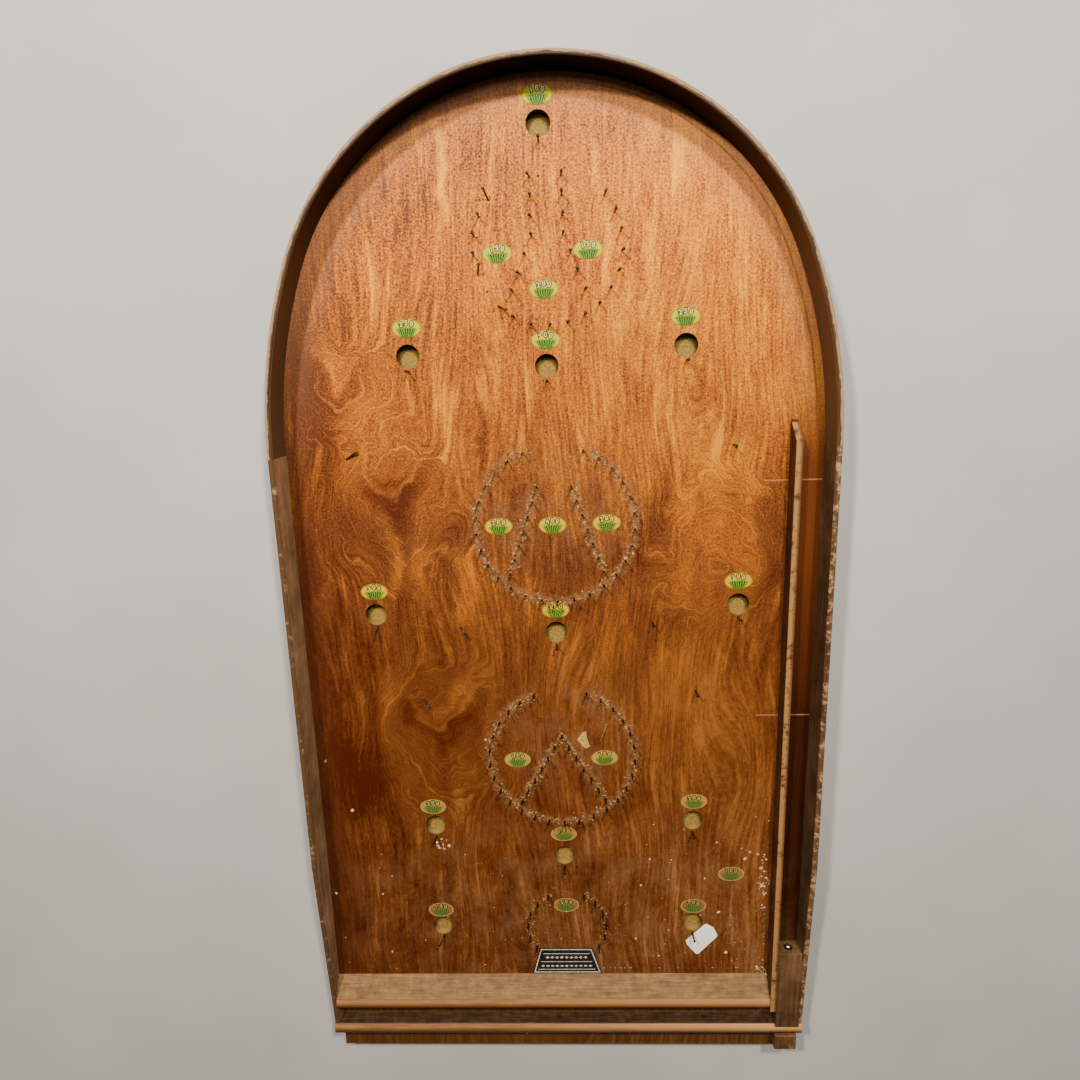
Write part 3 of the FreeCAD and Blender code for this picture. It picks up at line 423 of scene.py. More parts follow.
# the inside faces away from the light over the top, and is paler down both sides
aside = add("Math", [across], operation="ABSOLUTE")
aside = add("MapRange", [aside, 0.0, 190.0])
wall_tint = add("ValToRGB", [aside],
                [(0.0, "#060202"), (0.5, "#1E120E"), (0.8, "#443020"), (0.94, "#664C34")])
skin = add("Mix", {0: bruised, 6: stain, 7: bone}, data_type="RGBA")
feed(shader, {"Base Color": add("Mix", {0: inner_wall, 6: skin, 7: wall_tint}, data_type="RGBA"),
              "Roughness": add("MapRange", {0: bruised, 3: 0.6, 4: 0.8}),
              "Specular IOR Level": add("MapRange", {0: inner_wall, 3: 0.3, 4: 0.05}),
              "Normal": add("Bump", {"Height": grain, "Strength": 0.4, "Distance": 0.0004})})
dress("arch_rim", bent_finish)
# painted light and shade: the left strip's inner face takes a paler stain and its top a darker one, lit and
# shaded tones of the same wood, with chips of the paler tone on the top
dress("left_rim", stained_wood("left_rim_ply", ("#785A3E", "#9C7A54", "#BE9C74"), "#543C22", 15.0,
                               wear=1.05, sheen=0.1))
dress("right_rim", stained_wood("right_rim_ply", ("#3E2814", "#5E4026", "#7E5C3A"), "#B09470", 15.0,
                                wear=0.42, sheen=0.2))


def mottled_finish(name, size, stops, rough, detail=2.0, blend=0.5, others={}):
    """A finish that varies between the stops of a ramp in spots of a size in metres. Its roughness
    is one number, or two that the spots go between."""
    made, add, shader, position = finish_for(name)
    spots = add("TexNoise", {"Vector": position, "Scale": 1 / size, "Detail": detail, "Roughness": blend})
    if isinstance(rough, tuple):
        rough = add("MapRange", {0: spots, 3: rough[0], 4: rough[1]})
    feed(shader, {"Base Color": add("ValToRGB", [spots], stops), "Roughness": rough, **others})
    return made


# flat-headed wire nails, driven flush and gone dull brown, with rust in spots about 0.7 mm across
dress("rim_nails", mottled_finish(
    "rusted_nail_steel", 0.0007, [(0.35, "#3A3530"), (0.55, "#6A5A4A"), (0.7, "#7A4A28")], (0.35, 0.8), 3.0,
    others={"Metallic": 0.8}))


# --- Lane divider -----------------------------------------------------------------------------
# A planed softwood strip that keeps the shot ball off the playfield, glued on edge. Its upper end
# is pared to a slope, and hands have rubbed the stain off its top.

dress("lane_divider", stained_wood(
    "divider_softwood", ("#32190A", "#4C2A12", "#6A4422"), "#A47848", 14.0, length=60.0, wear=0.9, sheen=0.3,
    kept=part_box("lane_divider")[0].x * 1000 + 3.2))


# --- Stop rail and bottom rail ----------------------------------------------------------------
# Two moulded softwood rails across the foot with the ball trough between them. Balls run up the stop rail's
# sloping face; both crests are rounded, and a painted highlight and shade run across them.

def moulded_rail(name, shades, crest, crest_from, crest_to, end_highlight):
    """Softwood with its grain across the board: three shades of stain, then a rounded crest between two
    places along the board in mm, painted pale in front and dark behind, a painted highlight and shade for its
    rounding."""
    made, add, shader, position = finish_for(name)
    mm, across, along = in_mm(add, position)[:3]
    # fibres 1.4 mm thick and 22 mm long, under marks about 9 mm across
    fibre_at = add("Mapping", {"Vector": mm, "Scale": (1 / 22, 1 / 1.4, 1 / 1.4)})
    grain = add("TexNoise", {"Vector": fibre_at, "Scale": 1.0, "Detail": 4.0, "Roughness": 0.6})
    marks = add("TexNoise", {"Vector": mm, "Scale": 1 / 9, "Detail": 6.0, "Roughness": 0.7})
    mixed = add("Math", [marks, 1.2, grain], operation="MULTIPLY_ADD")
    mixed = add("Math", [mixed, 0.46], operation="MULTIPLY")
    stain = add("ValToRGB", [mixed], zip((0.38, 0.5, 0.62), shades))
    # the crest's edge wavers by a millimetre
    waver = add("Math", [marks, 2.0, along], operation="MULTIPLY_ADD")
    back = add("MapRange", [waver, crest_from + 1.0, crest_to + 1.0])
    crest_highlight_and_shade = add("ValToRGB", [back], zip((0.0, 0.22, 0.5, 0.78, 1.0), crest))
    sunk = add("MapRange", [grain, 0.35, 0.65, 0.45, 0.0])
    # painted light: the crests are painted paler towards the right end, where more light falls
    end_light = add("MapRange", [across, -60.0, 190.0, 0.0, 0.8])
    front = add("MapRange", [back, 0.75, 0.3])
    end_light = add("Math", [end_light, front], operation="MULTIPLY")
    for weight, shade in ((sunk, shades[0]), (end_light, end_highlight)):
        crest_highlight_and_shade = add("Mix", {0: weight, 6: crest_highlight_and_shade, 7: shade}, data_type="RGBA")
    on_crest = add("Math", [along, crest_from], operation="LESS_THAN")
    feed(shader, {"Base Color": add("Mix", {0: on_crest, 6: stain, 7: crest_highlight_and_shade}, data_type="RGBA"),
                  "Roughness": add("MapRange", {0: on_crest, 3: 0.7, 4: 0.5}),
                  "Specular IOR Level": 0.3,
                  "Normal": add("Bump", {"Height": grain, "Strength": 0.4, "Distance": 0.0004})})
    return made


dress("stop_rail", moulded_rail(
    "stop_rail_softwood", ("#66482A", "#80603A", "#98764A"),
    ("#8C6038", "#B8844C", "#905C34", "#58341C", "#24140A"), -324.3, -334.7, "#C08A50"))
# painted shade: the bottom rail's stain is much darker than the stop rail's, for its face that stands in the
# trough behind the stop rail
dress("bottom_rail", moulded_rail(
    "bottom_rail_softwood", ("#26180C", "#3C2A18", "#543E26"),
    ("#8C5E38", "#AC7846", "#7E5630", "#54361C", "#2E1A0C"), -350.3, -360.3, "#D8A064"))


# --- Lane block and trough filler -------------------------------------------------------------
# A beech block closes the foot of the lane and carries the plunger in its bore; a darker offcut
# fills the trough behind it. Both are glued down.

block_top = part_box("lane_block")[1].z * 1000
dress("lane_block", stained_wood("lane_block_beech", ("#40281A", "#5C4028", "#785838"), "#8E6C44",
                                 block_top - 1.4, wear=0.1))
dress("trough_filler", stained_wood("filler_beech", ("#3A2418", "#543A26", "#6C5038"), "#E0CCA0",
                                    block_top - 1.4, wear=0.08))


# --- Plunger ----------------------------------------------------------------------------------
# A steel rod with a pinned collar and a return spring in the block's chamber, pulled by a small
# turned beech pull outside the bottom rail. It all rides on the plunger body.

# bright drawn steel, slightly scuffed by the balls
rod_finish, add, shader, position = finish_for("bright_drawn_steel")
# drawing marks along the rod, 0.3 mm apart
drawn = add("Mapping", {"Vector": position, "Scale": (1 / 0.0003, 1 / 0.02, 1 / 0.0003)})
marks = add("TexNoise", {"Vector": drawn, "Scale": 1.0})
feed(shader, {"Base Color": add("ValToRGB", [marks], [(0.3, "#8C8478"), (0.7, "#D8D2C6")]),
              "Roughness": add("MapRange", {0: marks, 3: 0.22, 4: 0.42}), "Metallic": 1.0})
dress("plunger_rod", rod_finish)
dress("plunger_collar", rod_finish)
dress("plunger_handle", stained_wood("turned_beech_pull", ("#3A2412", "#523820", "#705030"), "#A88458", 24.6,
                                     length=20.0, wear=0.15))


def as_mesh(name, shape):
    """A mesh from a bmesh, which is freed."""
    mesh = bpy.data.meshes.new(name)
    shape.to_mesh(mesh)
    shape.free()
    return mesh


def finished_piece(name, shape, finish, body="board"):
    """A shown piece that moves with a body, with its place already in its mesh."""
    bmesh.ops.recalc_face_normals(shape, faces=shape.faces)
    mesh = as_mesh(name, shape)
    mesh.materials.append(finish)
    piece = bpy.data.objects.new(name, mesh)
    bpy.context.scene.collection.objects.link(piece)
    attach(piece, body)
    return piece


# the return spring between the collar and the filler, carried on the plunger body with the rod
coil = bmesh.new()
coil.from_mesh(nodes["plunger_spring"].data)
bmesh.ops.remove_doubles(coil, verts=coil.verts, dist=0.000001)
return_spring = finished_piece("return_spring", coil, rod_finish, "plunger")
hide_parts("plunger_spring")
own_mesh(return_spring)


# --- Playfield nails --------------------------------------------------------------------------
# Some hundred and forty wire nails with small domed heads, driven by hand into rings and rows.
# The balls have knocked a few over, and the steel has gone dark.

# old bright steel wire: dull silver shanks with brown tarnish, and heads hammered dark
pin_finish, add, shader, position = finish_for("tarnished_steel_wire")
# tarnish in patches about 2 mm long
spots = add("TexNoise", {"Vector": position, "Scale": 1 / 0.002, "Detail": 3.0})
tarnish = add("ValToRGB", [spots], [(0.35, "#221A14"), (0.5, "#3E332A"), (0.68, "#7A6C5E")])
up_nail = add("SeparateXYZ", [position]).outputs["Z"]
head = add("MapRange", [up_nail, PLAYFIELD + 0.0086, PLAYFIELD + 0.0094])
feed(shader, {"Base Color": add("Mix", {0: head, 6: tarnish, 7: "#0C0705"}, data_type="RGBA"),
              "Metallic": 0.35, "Roughness": add("MapRange", {0: spots, 3: 0.55, 4: 0.35})})

# the nails of the lower formations are furred over with dust, in tufts about 1 mm across
furred_finish = mottled_finish(
    "dusty_steel_wire", 0.001, [(0.35, "#1E120A"), (0.5, "#463220"), (0.68, "#8A6C4A")], (0.5, 0.95), 3.0,
    others={"Specular IOR Level": 0.15})


def nail_mesh(length):
    """A nail standing on the origin, in metres: its shank, and a head 2.3 mm across. Its point
    and the driven part of the shank stay hidden in the wood."""
    shape = bmesh.new()
    outline = [(0, -0.0012), (0.0007, -0.0012), (0.0007, length - 0.0007), (0.00115, length - 0.0006),
               (0.00115, length - 0.0003), (0.0007, length), (0, length)]
    corners = [shape.verts.new((radius, 0, height)) for radius, height in outline]
    edges = [shape.edges.new(pair) for pair in zip(corners, corners[1:])]
    bmesh.ops.spin(shape, geom=corners + edges, cent=(0, 0, 0), axis=(0, 0, 1), angle=math.tau,
                   steps=10, use_merge=True)
    bmesh.ops.remove_doubles(shape, verts=shape.verts, dist=0.00001)
    bmesh.ops.recalc_face_normals(shape, faces=shape.faces)
    return as_mesh("nail", shape)


def nail_lines(node):
    """Where each nail of a CAD node leaves the wood, and where its tip is."""
    shape = bmesh.new()
    shape.from_mesh(nodes[node].data)
    bmesh.ops.remove_doubles(shape, verts=shape.verts, dist=0.000001)
    lines = []
    reached = set()
    for start in shape.verts:
        if start in reached:
            continue
        reached.add(start)
        piece = [start]
        for corner in piece:
            for edge in corner.link_edges:
                other = edge.other_vert(corner)
                if other not in reached:
                    reached.add(other)
                    piece.append(other)
        # corners at one height are put in a fixed order too, so that every run gives the same nails
        ordered = sorted((corner.co for corner in piece), key=lambda co: (round(co.z, 7), co.x, co.y))
        foot = sum(ordered[:8], Vector()) / 8
        tip = sum(ordered[-8:], Vector()) / 8
        lines.append((Vector((foot.x, foot.y, PLAYFIELD)), tip))
    shape.free()
    return sorted(lines, key=lambda line: (round(line[0].y, 5), round(line[0].x, 5)))


nail_lines_of = {}
upright = nail_mesh(0.010)
for name in ("top_ring_pins", "top_neck_pins", "middle_ring_pins", "middle_leg_pins", "lower_ring_pins",
             "lower_leg_pins", "bottom_ring_pins", "cup_stop_pins", "guard_pins"):
    nail_lines_of[name] = nail_lines(name)
    rng = random.Random(name)
    shape = bmesh.new()
    for foot, tip in nail_lines_of[name]:
        lean = (tip - foot).normalized()
        if lean.z > 0.99:
            lean = Vector((rng.gauss(0, 0.04), rng.gauss(0, 0.04), 1.0))
        twist = Matrix.Rotation(rng.uniform(0, math.tau), 4, "Z")
        turn = Vector((0, 0, 1)).rotation_difference(lean).to_matrix().to_4x4()
        start = foot if lean.z > 0.9 else foot + Vector((0, 0, 0.0007))
        single = upright.copy()
        single.transform(Matrix.Translation(start) @ turn @ twist)
        shape.from_mesh(single)
        bpy.data.meshes.remove(single)
    finish = furred_finish if name.startswith(("middle", "lower", "bottom")) else pin_finish
    nails = finished_piece(name.replace("pins", "nails"), shape, finish)
    nails.data.shade_smooth()
    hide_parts(name)


# --- Dust and lint ----------------------------------------------------------------------------
# Nobody can wipe between the nails, so brown fluff hangs along the lower formations in chains of
# small flakes, with a few loose crumbs, chips and hairs elsewhere on the board.

# felted household dust: matt, brown to cream, its tone changing over about 3 mm
dust_finish = mottled_finish(
    "felted_dust", 0.003, [(0.30, "#4E3018"), (0.45, "#7A5430"), (0.56, "#A47A4C"), (0.70, "#DCB88A")],
    0.95, 3.0, 0.7, {"Specular IOR Level": 0.1})

rng = random.Random(7)
single = bmesh.new()
bmesh.ops.create_icosphere(single, subdivisions=1, radius=1.0)
crumb = as_mesh("crumb", single)
# a bent hair 0.2 mm thick: a triangle spun through part of a turn, one unit long
single = bmesh.new()
bmesh.ops.create_circle(single, cap_ends=True, segments=3, radius=0.018,
                        matrix=Matrix.Translation((0.5, 0, 0)) @ Matrix.Rotation(math.pi / 2, 4, "X"))
bmesh.ops.spin(single, geom=single.faces[:], cent=(0, 0, 0), axis=(0, 0, 1), angle=2.0, steps=6,
               use_merge=False)
bmesh.ops.recalc_face_normals(single, faces=single.faces)
hair = as_mesh("hair", single)


def scattered(shape, mesh, x, y, lift, scale):
    """One more copy of a small mesh on the playfield, in mm, turned at random."""
    copy = mesh.copy()
    tilt = Matrix.Rotation(rng.uniform(-0.3, 0.3), 4, "X") @ Matrix.Rotation(rng.uniform(-0.3, 0.3), 4, "Y")
    copy.transform(Matrix.Translation((x / 1000, y / 1000, PLAYFIELD + lift / 1000)) @ tilt
                   @ Matrix.Rotation(rng.uniform(0, math.tau), 4, "Z")
                   @ Matrix.Diagonal([part / 1000 for part in scale] + [1]))
    shape.from_mesh(copy)
    bpy.data.meshes.remove(copy)


dust = bmesh.new()
for name, flakes in (("middle_ring_pins", 22), ("middle_leg_pins", 24), ("lower_ring_pins", 20),
                     ("lower_leg_pins", 20), ("bottom_ring_pins", 10), ("top_ring_pins", 1),
                     ("top_neck_pins", 1)):
    feet = [foot * 1000 for foot, tip in nail_lines_of[name]]
    for foot in feet:
        others = sorted((other for other in feet if other is not foot),
                        key=lambda other: (other - foot).length)
        if flakes < 3 or not others:
            others = [foot]
        for index in range(flakes):
            # the flakes string out from each nail towards its two neighbours
            share = rng.uniform(0, 0.55)
            place = foot.lerp(others[index % min(2, len(others))], share)
            size = rng.uniform(0.5, 1.5)
            scattered(dust, crumb, place.x + rng.gauss(0, 1.9), place.y + rng.gauss(0, 2.0),
                      rng.uniform(0.0, 0.3), (size, size * rng.uniform(0.35, 0.8), size * 0.2))
        if flakes > 10:
            for index in range(2):
                length = rng.uniform(4.0, 9.0)
                scattered(dust, hair, foot.x + rng.gauss(0, 2.0), foot.y + rng.gauss(0, 2.0),
                          rng.uniform(0.4, 1.4), (length, length, length))
finished_piece("nail_dust", dust, dust_finish)

# pale crumbs and chips that have settled on the lower board, in mm
crumbs = bmesh.new()
for x, y in [(-169, -154), (-189, -231), (-146, -288), (145, -192), (158, -197), (164, -213), (166, -219),
             (163, -226), (165, -234), (125, -186), (116, -219), (128, -251), (87, -268), (79, -293),
             (135, -290), (64, -225), (71, -201), (-187, -110), (-58, -93), (161, -304), (169, -312),
             (-100, -189), (-94, -182), (-97, -186), (-102, -184), (-98, -181), (-92, -187), (-96, -190),
             (-101, -187), (148, -201), (152, -195), (161, -210), (-150, -232), (-141, -215), (60, -276),
             (104, -240)]:
    size = rng.uniform(0.9, 1.9)
    scattered(crumbs, crumb, x, y, 0.3, (size, size * rng.uniform(0.5, 1.0), size * 0.35))
for index in range(26):
    # a line of flakes along the divider
    size = rng.uniform(0.4, 1.1)
    scattered(crumbs, crumb, rng.gauss(163.5, 1.2), rng.uniform(-248, -196), 0.3,
              (size, size * 0.7, size * 0.4))
for index in range(150):
    # fine grit, thickest towards the lane and the foot
    x = max(-185, min(166, rng.gauss(70, 90)))
    y = max(-305, min(-140, rng.gauss(-250, 50)))
    size = rng.uniform(0.2, 0.55)
    scattered(crumbs, crumb, x, y, 0.1, (size, size, size * 0.4))
for x, y, many in ((-100, -189, 3), (164, -222, 3), (165, -308, 8), (170, -345, 6)):
    for index in range(many):
        length = rng.uniform(3.0, 7.0)
        scattered(crumbs, hair, x + rng.gauss(0, 1.6), y + rng.gauss(0, 1.6), rng.uniform(0.3, 1.6),
                  (length, length, length * 1.5))
# crumbs swept against the bottom rail, on the ledge behind it
for index in range(60):
    size = rng.uniform(0.2, 0.7)
    scattered(crumbs, crumb, rng.uniform(-180, 170), rng.uniform(-372, -362), 0.1, (size, size, size * 0.4))
# crumbs of dried varnish and old paper: matt cream, a new tone every 4 mm
finished_piece("loose_crumbs", crumbs, mottled_finish(
    "cream_crumbs", 0.004, [(0.35, "#A87A60"), (0.5, "#DCB49C"), (0.65, "#F4DCC8")], 0.9))


def plate_mesh(corners, thickness):
    """A thin plate from the corners of its under side, in mm above the playfield."""
    shape = bmesh.new()
    face = shape.faces.new([shape.verts.new((x / 1000, y / 1000, PLAYFIELD + z / 1000))
                            for x, y, z in corners])
    face.normal_update()
    if face.normal.z < 0:
        face.normal_flip()
    lifted = bmesh.ops.extrude_face_region(shape, geom=[face])["geom"]
    corners = [part for part in lifted if isinstance(part, bmesh.types.BMVert)]
    bmesh.ops.translate(shape, verts=corners, vec=(0, 0, thickness))
    return shape


# a torn chip of cream paper inside the lower ring, with fibres 1 mm long
chip = plate_mesh([(14.1, -94.0, 0.1), (17.9, -87.8, 0.6), (21.2, -86.4, 1.2), (21.7, -92.0, 0.5),
                   (23.9, -99.3, 0.8), (21.0, -101.9, 0.3), (18.1, -99.2, 0.1)], 0.0002)
finished_piece("paper_chip", chip, mottled_finish(
    "cream_paper", 0.001, [(0.35, "#94682C"), (0.6, "#D8B060")], 0.9, 3.0))

# and a splinter that lies beside it
splinter = plate_mesh([(31.6, -95.6, 0.1), (32.9, -95.2, 0.1), (37.6, -80.4, 1.6), (36.2, -79.9, 1.6)],
                      0.0006)
finished_piece("loose_splinter", splinter, dust_finish)

# a nail was lost from the top ring, and one was driven and pulled above it: their holes stay, drawn as flat
# dark discs of painted shade
hole_shades = bmesh.new()
for x, y in ((-42.1, 243.3), (-4.9, 315.9)):
    bmesh.ops.create_circle(hole_shades, cap_ends=True, segments=12, radius=0.0008,
                            matrix=Matrix.Translation((x / 1000, y / 1000, PLAYFIELD + 0.00006)))
# painted shade of each hole, broken by torn fibres 0.5 mm wide
finished_piece("nail_holes", hole_shades, mottled_finish(
    "nail_hole", 0.0005, [(0.3, "#120A06"), (0.7, "#2A160C")], 1.0))


# --- Score labels -----------------------------------------------------------------------------
# Water-slide transfers under the varnish: yellow ovals 21 by 13 mm with a green fan and a plain
# pale score above it. Those near the foot have worn dull.

score_spots = [(0, 17.2, "100"), (-31, 114.1, "150"), (31, 114.1, "150"), (0, 138.4, "200"),
               (0, 172.3, "300"), (-97, 160.5, "250"), (97, 160.5, "250"), (0, 304.2, "400"),
               (-39.8, 303.8, "200"), (39.8, 303.8, "200"), (-136.5, 351.1, "300"), (136.5, 351.1, "300"),
               (0, 369.6, "250"), (-34.4, 492.8, "150"), (34.4, 492.8, "150"), (-104.7, 532.8, "200"),
               (104.7, 532.8, "200"), (0, 559.7, "100"), (135, 599.2, "100"), (-104.7, 628.8, "100"),
               (0, 626.0, "500"), (104.7, 628.8, "100")]

# printed transfer film: flat ink with a slight gloss, its UV running from -1 to 1 over the oval
label_finish, add, shader, position = finish_for("printed_transfer")
printed = add("UVMap", uv_map="label")
# a green fan that spreads upwards from the oval's lower edge, in five rays 2 mm wide
fan_at = add("Mapping", {"Vector": printed, "Location": (0.0, 2.0, 0), "Scale": (1.0, 1.0, 0)})
fan_x, fan_y = add("SeparateXYZ", [fan_at]).outputs[:2]
fan_turn = add("Math", [fan_x, fan_y], operation="ARCTAN2")
fan_far = add("VectorMath", [fan_at], operation="LENGTH")
rays = add("Math", [fan_turn, 68.0], operation="MULTIPLY")
rays = add("Math", [rays], operation="COSINE")
# the yellow has gone brown and the green grey towards the foot, where most balls come to rest
label_y = add("SeparateXYZ", [position]).outputs["Y"]
label_row = add("MapRange", [label_y, -0.30, 0.32])
off_middle = add("Math", [fan_turn], operation="ABSOLUTE")
in_turn = add("MapRange", [off_middle, 0.42, 0.29])
fan_edge = add("Math", [rays, 0.08, 2.08], operation="MULTIPLY_ADD")
past_edge = add("Math", [fan_far, fan_edge], operation="SUBTRACT")
in_reach = add("MapRange", [past_edge, 0.08, -0.08])
fan = add("Math", [in_turn, in_reach], operation="MULTIPLY")
# brush-like streaks of ink 0.8 mm wide
ink = add("TexNoise", {"Vector": position, "Scale": 1 / 0.0008})
rayed = add("Math", [rays, 0.18, ink], operation="MULTIPLY_ADD")
green = add("ValToRGB", [rayed], [(0.3, "#123414"), (0.5, "#3A6A24"), (0.75, "#86A02C")])
yellow = add("ValToRGB", [label_row],
             [(0.0, "#8C7038"), (0.3, "#B4923E"), (0.52, "#D8AC0C"), (0.9, "#CCC000")])
greyed = add("MapRange", [label_row, 0.5, 0.1, 0.0, 0.6])
green = add("Mix", {0: greyed, 6: green, 7: "#4E5630"}, data_type="RGBA")
# the lobes' middle has worn through to the wood at the foot
worn_through = add("MapRange", [label_row, 0.3, 0.05, 0.0, 1.3])
worn_through = add("Math", [worn_through, ink], operation="MULTIPLY")
# a darker printed edge that has rubbed to cream at the foot
edge = add("VectorMath", [printed], operation="LENGTH")
rim_line = add("MapRange", [edge, 0.86, 0.95, 0.0, 0.7])
rim_tint = add("ValToRGB", [label_row], [(0.15, "#C09A60"), (0.45, "#6E5A14")])
label_skin = yellow
for weight, shade in ((worn_through, "#74401A"), (fan, green), (rim_line, rim_tint)):
    label_skin = add("Mix", {0: weight, 6: label_skin, 7: shade}, data_type="RGBA")
feed(shader, {"Base Color": label_skin, "Roughness": add("MapRange", {0: ink, 3: 0.4, 4: 0.55}),
              "Specular IOR Level": 0.12})

LABEL_FILM = 0.00008
shape = bmesh.new()
layer = shape.loops.layers.uv.new("label")
for x, y, score in score_spots:
    disc = bmesh.ops.create_circle(shape, cap_ends=True, segments=36, radius=1.0)["verts"]
    face = disc[0].link_faces[0]
    for loop in face.loops:
        loop[layer].uv = loop.vert.co.xy
    centre = Vector([part / 1000 for part in spot(x, y)] + [PLAYFIELD + LABEL_FILM])
    bmesh.ops.transform(shape, verts=disc, matrix=Matrix.Translation(centre)
                        @ Matrix.Rotation(LAYOUT_TURN, 4, "Z") @ Matrix.Diagonal((0.0105, 0.0065, 1, 1)))
    rim = bmesh.ops.extrude_edge_only(shape, edges=list(face.edges))["geom"]
    low = [part for part in rim if isinstance(part, bmesh.types.BMVert)]
    bmesh.ops.translate(shape, verts=low, vec=(0, 0, -LABEL_FILM))
    for corner in low:
        for loop in corner.link_loops:
            loop[layer].uv = (1.0, 0.0)
finished_piece("score_labels", shape, label_finish)

# the digits: white ink over a dark outline, both worn towards the foot
digit_finishes = []
for name, fresh, worn in (("dark_ink", "#1C3410", "#2E361A"), ("white_ink", "#F8E070", "#A08248")):
    digit_finish, add, shader, position = finish_for(name)
    # ink laid unevenly in spots 1 mm across
    ink = add("TexNoise", {"Vector": position, "Scale": 1 / 0.001})
    aged = add("MapRange", [add("SeparateXYZ", [position]).outputs["Y"], 0.12, -0.22])
    aged = add("Math", [aged, ink], operation="MULTIPLY")
    aged = add("Math", [aged, 1.5], operation="MULTIPLY", use_clamp=True)
    feed(shader, {"Base Color": add("Mix", {0: aged, 6: fresh, 7: worn}, data_type="RGBA"),
                  "Roughness": add("MapRange", {0: ink, 3: 0.4, 4: 0.6})})
    digit_finishes.append(digit_finish)


def digit_mesh(character, swell):
    """One digit 3.4 mm high, lying flat about its own middle, thickened outwards by swell."""
    text = bpy.data.curves.new("digit", "FONT")
    text.body = character
    text.size = 0.0049
    text.offset = swell
    text.extrude = 0.00002
    text.resolution_u = 3
    text.align_x = "CENTER"
    text.align_y = "CENTER"
    holder = bpy.data.objects.new("digit", text)
    bpy.context.scene.collection.objects.link(holder)
    bpy.context.view_layer.update()
    mesh = bpy.data.meshes.new_from_object(holder.evaluated_get(bpy.context.evaluated_depsgraph_get()))
    bpy.data.objects.remove(holder)
    return mesh


for name, swell, lift, finish in (("score_outlines", 0.0008, 0.00011, digit_finishes[0]),
                                  ("score_digits", 0.00004, 0.00017, digit_finishes[1])):
    cut = {character: digit_mesh(character, swell) for character in "012345"}
    shape = bmesh.new()
    for x, y, score in score_spots:
        for index, character in enumerate(score):
            # the three digits follow the oval's top, the middle one highest
            tilt = (1 - index) * 14
            centre_x, centre_y = spot(x + (index - 1) * 3.7, y - (3.4 if index == 1 else 2.6))
            digit = cut[character].copy()
            digit.transform(Matrix.Translation((centre_x / 1000, centre_y / 1000, PLAYFIELD + lift))
                            @ Matrix.Rotation(LAYOUT_TURN + math.radians(tilt), 4, "Z"))
            shape.from_mesh(digit)
            bpy.data.meshes.remove(digit)
    finished_piece(name, shape, finish)


# --- Nameplate and paper tag ------------------------------------------------------------------
# A black enamelled plate with a silver edge and a plain silver ornament where a name would stand,
# pinned above the stop rail, and a small blank paper tag lying beside it.

plate_corners = [(-27.2, -310.0, 0), (31.4, -310.1, 0), (23.3, -285.3, 0), (-20.5, -285.1, 0)]
# stoved black enamel, gloss with fine scratches
plate_finish, add, shader, position = finish_for("black_enamel")
# scratches 0.4 mm wide and 4 mm long
scuffs_at = add("Mapping", {"Vector": position, "Rotation": (0, 0, 0.6),
                            "Scale": (1 / 0.004, 1 / 0.0004, 1)})
scuffs = add("TexNoise", {"Vector": scuffs_at, "Scale": 1.0, "Detail": 3.0})
feed(shader, {"Base Color": add("ValToRGB", [scuffs], [(0.5, "#16120F"), (0.72, "#4A4440")]),
              "Roughness": add("MapRange", {0: scuffs, 3: 0.25, 4: 0.5})})
finished_piece("nameplate", plate_mesh(plate_corners, 0.0003), plate_finish)
# the silver line inside the plate's edge, rubbed in spots 1 mm across
line_finish = mottled_finish("silver_ink", 0.001, [(0.3, "#8C8880"), (0.6, "#E0DCD4")], 0.5)
shape = plate_mesh(plate_corners, 0.00035)
bmesh.ops.delete(shape, geom=[face for face in shape.faces if face.normal.z < 0.5], context="FACES")
middle_face = list(shape.faces)[0]
for pass_number in range(2):
    line_faces = bmesh.ops.inset_region(shape, faces=[middle_face], thickness=0.0009, use_boundary=True,
                                        use_even_offset=True)["faces"]
bmesh.ops.delete(shape, geom=[face for face in shape.faces if face not in line_faces], context="FACES")
finished_piece("nameplate_border", shape, line_finish)
# two rows of silver lozenges between ruled lines
shape = bmesh.new()
for row_y, many, tall in ((-294.2, 9, 2.4), (-302.6, 11, 2.0)):
    for index in range(many):
        centre = ((1.7 + (index - (many - 1) / 2) * 4.0) / 1000, row_y / 1000, PLAYFIELD + 0.00042)
        bmesh.ops.create_circle(shape, cap_ends=True, segments=4, radius=1.0,
                                matrix=Matrix.Translation(centre)
                                @ Matrix.Diagonal((0.0017, tall / 2000, 1, 1)))
for row_y, half_width in ((-290.6, 19.5), (-298.4, 21.5), (-306.0, 24.0)):
    centre = (0.0017, row_y / 1000, PLAYFIELD + 0.00042)
    bmesh.ops.create_grid(shape, x_segments=1, y_segments=1, size=1.0, matrix=Matrix.Translation(centre)
                          @ Matrix.Diagonal((half_width / 1000, 0.0003, 1, 1)))
finished_piece("nameplate_ornament", shape, line_finish)

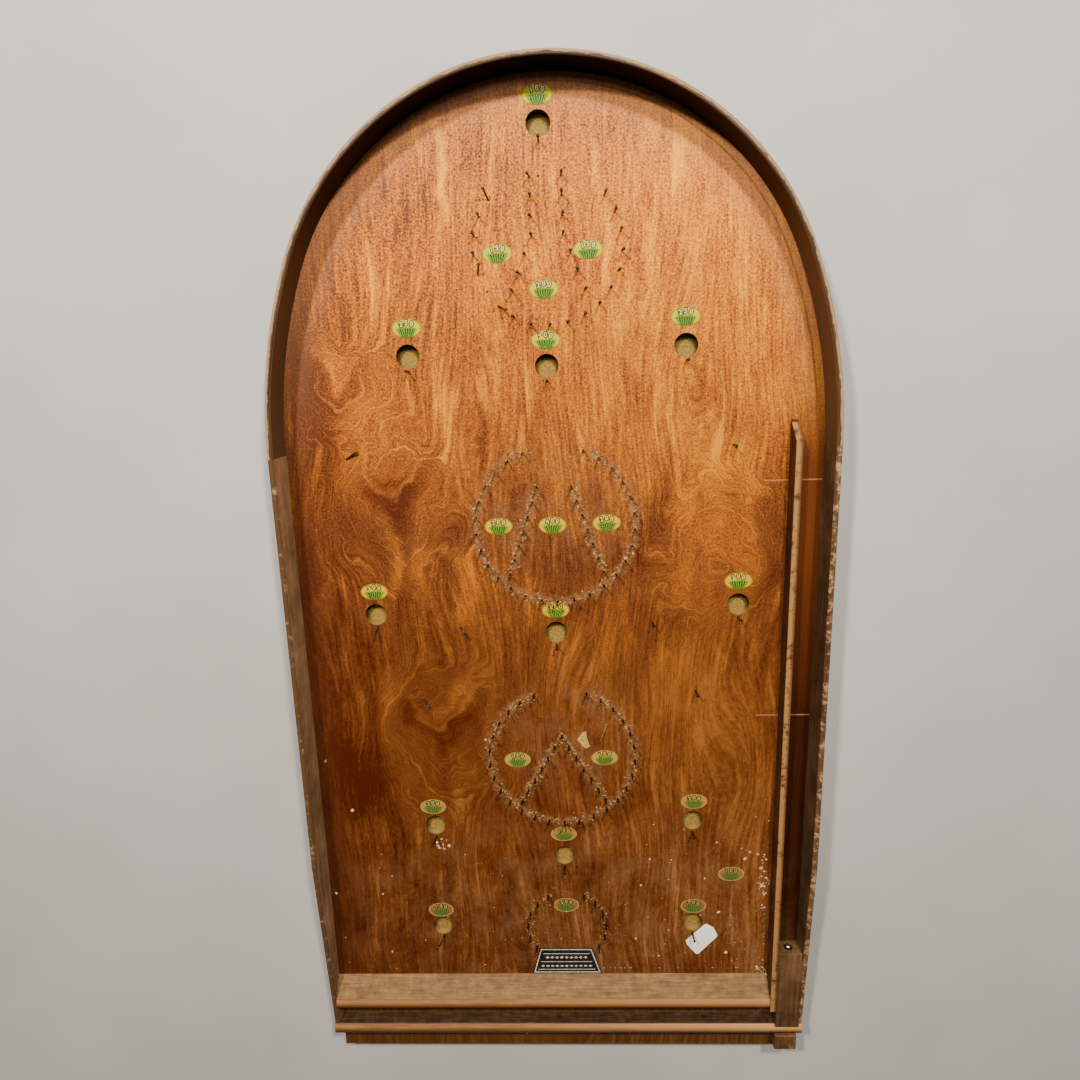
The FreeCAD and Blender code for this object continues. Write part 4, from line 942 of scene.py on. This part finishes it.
# matt paper, slightly cockled, with fibres 1.2 mm long
tag_finish = mottled_finish("matt_paper", 0.0012, [(0.3, "#F4F3F0"), (0.6, "#FFFFFF")], 0.9, 4.0)
shape = plate_mesh([(101.4, -278.0, 0.3), (116.6, -262.4, 0.5), (118.6, -261.9, 0.6), (123.9, -264.8, 1.0),
                    (127.4, -272.0, 1.2), (126.9, -274.0, 1.0), (111.9, -291.0, 0.4), (110.0, -290.8, 0.3),
                    (102.4, -281.6, 0.2)], 0.0002)
finished_piece("paper_tag", shape, tag_finish)


# --- Floor, lights and camera -----------------------------------------------------------------
# The board lies on a plain pale floor. A wide soft lamp hangs high beyond the arch, and two small
# ones lower down give every nail its pair of shadows.

shape = bmesh.new()
bmesh.ops.create_grid(shape, x_segments=4, y_segments=4, size=4.0, matrix=Matrix.Translation((0, 0, -0.0002)))
floor_mesh = as_mesh("floor", shape)
# painted board, with soft clouds some 170 mm across
floor_mesh.materials.append(mottled_finish(
    "pale_floor", 1 / 6, [(0.3, "#B9B8B6"), (0.7, "#C4C3C1")], 0.8, 3.0))
floor = bpy.data.objects.new("floor", floor_mesh)
bpy.context.scene.collection.objects.link(floor)


def lamp(name, place, target, power, size, shade="#FFF4E6"):
    """A square area lamp that faces a target, with its size in metres."""
    light = bpy.data.lights.new(name, "AREA")
    light.energy = power
    light.size = size
    light.color = colour(shade)[:3]
    holder = bpy.data.objects.new(name, light)
    holder.location = place
    holder.rotation_euler = (Vector(target) - Vector(place)).to_track_quat("-Z", "Y").to_euler()
    bpy.context.scene.collection.objects.link(holder)


lamp("high_lamp", (0.05, 0.70, 1.45), (0, 0.1, 0), 7.5, 0.35)
lamp("right_lamp", (0.36, 0.98, 1.12), (0, 0.1, 0), 22.0, 0.11)
lamp("left_lamp", (-0.52, 0.90, 1.12), (0, 0.1, 0), 22.0, 0.11)
world = bpy.data.worlds.new("studio")
world.use_nodes = True
feed(world.node_tree.nodes["Background"], {"Color": "#D6CEC4", "Strength": 0.10})
bpy.context.scene.world = world

lens = bpy.data.cameras.new("camera")
lens.lens = 25.0
lens.sensor_width = 36.0
lens.clip_start = 0.01
camera = bpy.data.objects.new("camera", lens)
bpy.context.scene.collection.objects.link(camera)
turned = (Matrix.Rotation(math.radians(1.66), 4, "Z") @ Matrix.Rotation(math.radians(12.70), 4, "X")
          @ Matrix.Rotation(math.radians(-1.97), 4, "Y"))
camera.matrix_world = Matrix.Translation((0.0080, 0.1892, 0.5526)) @ turned.transposed()
bpy.context.scene.camera = camera
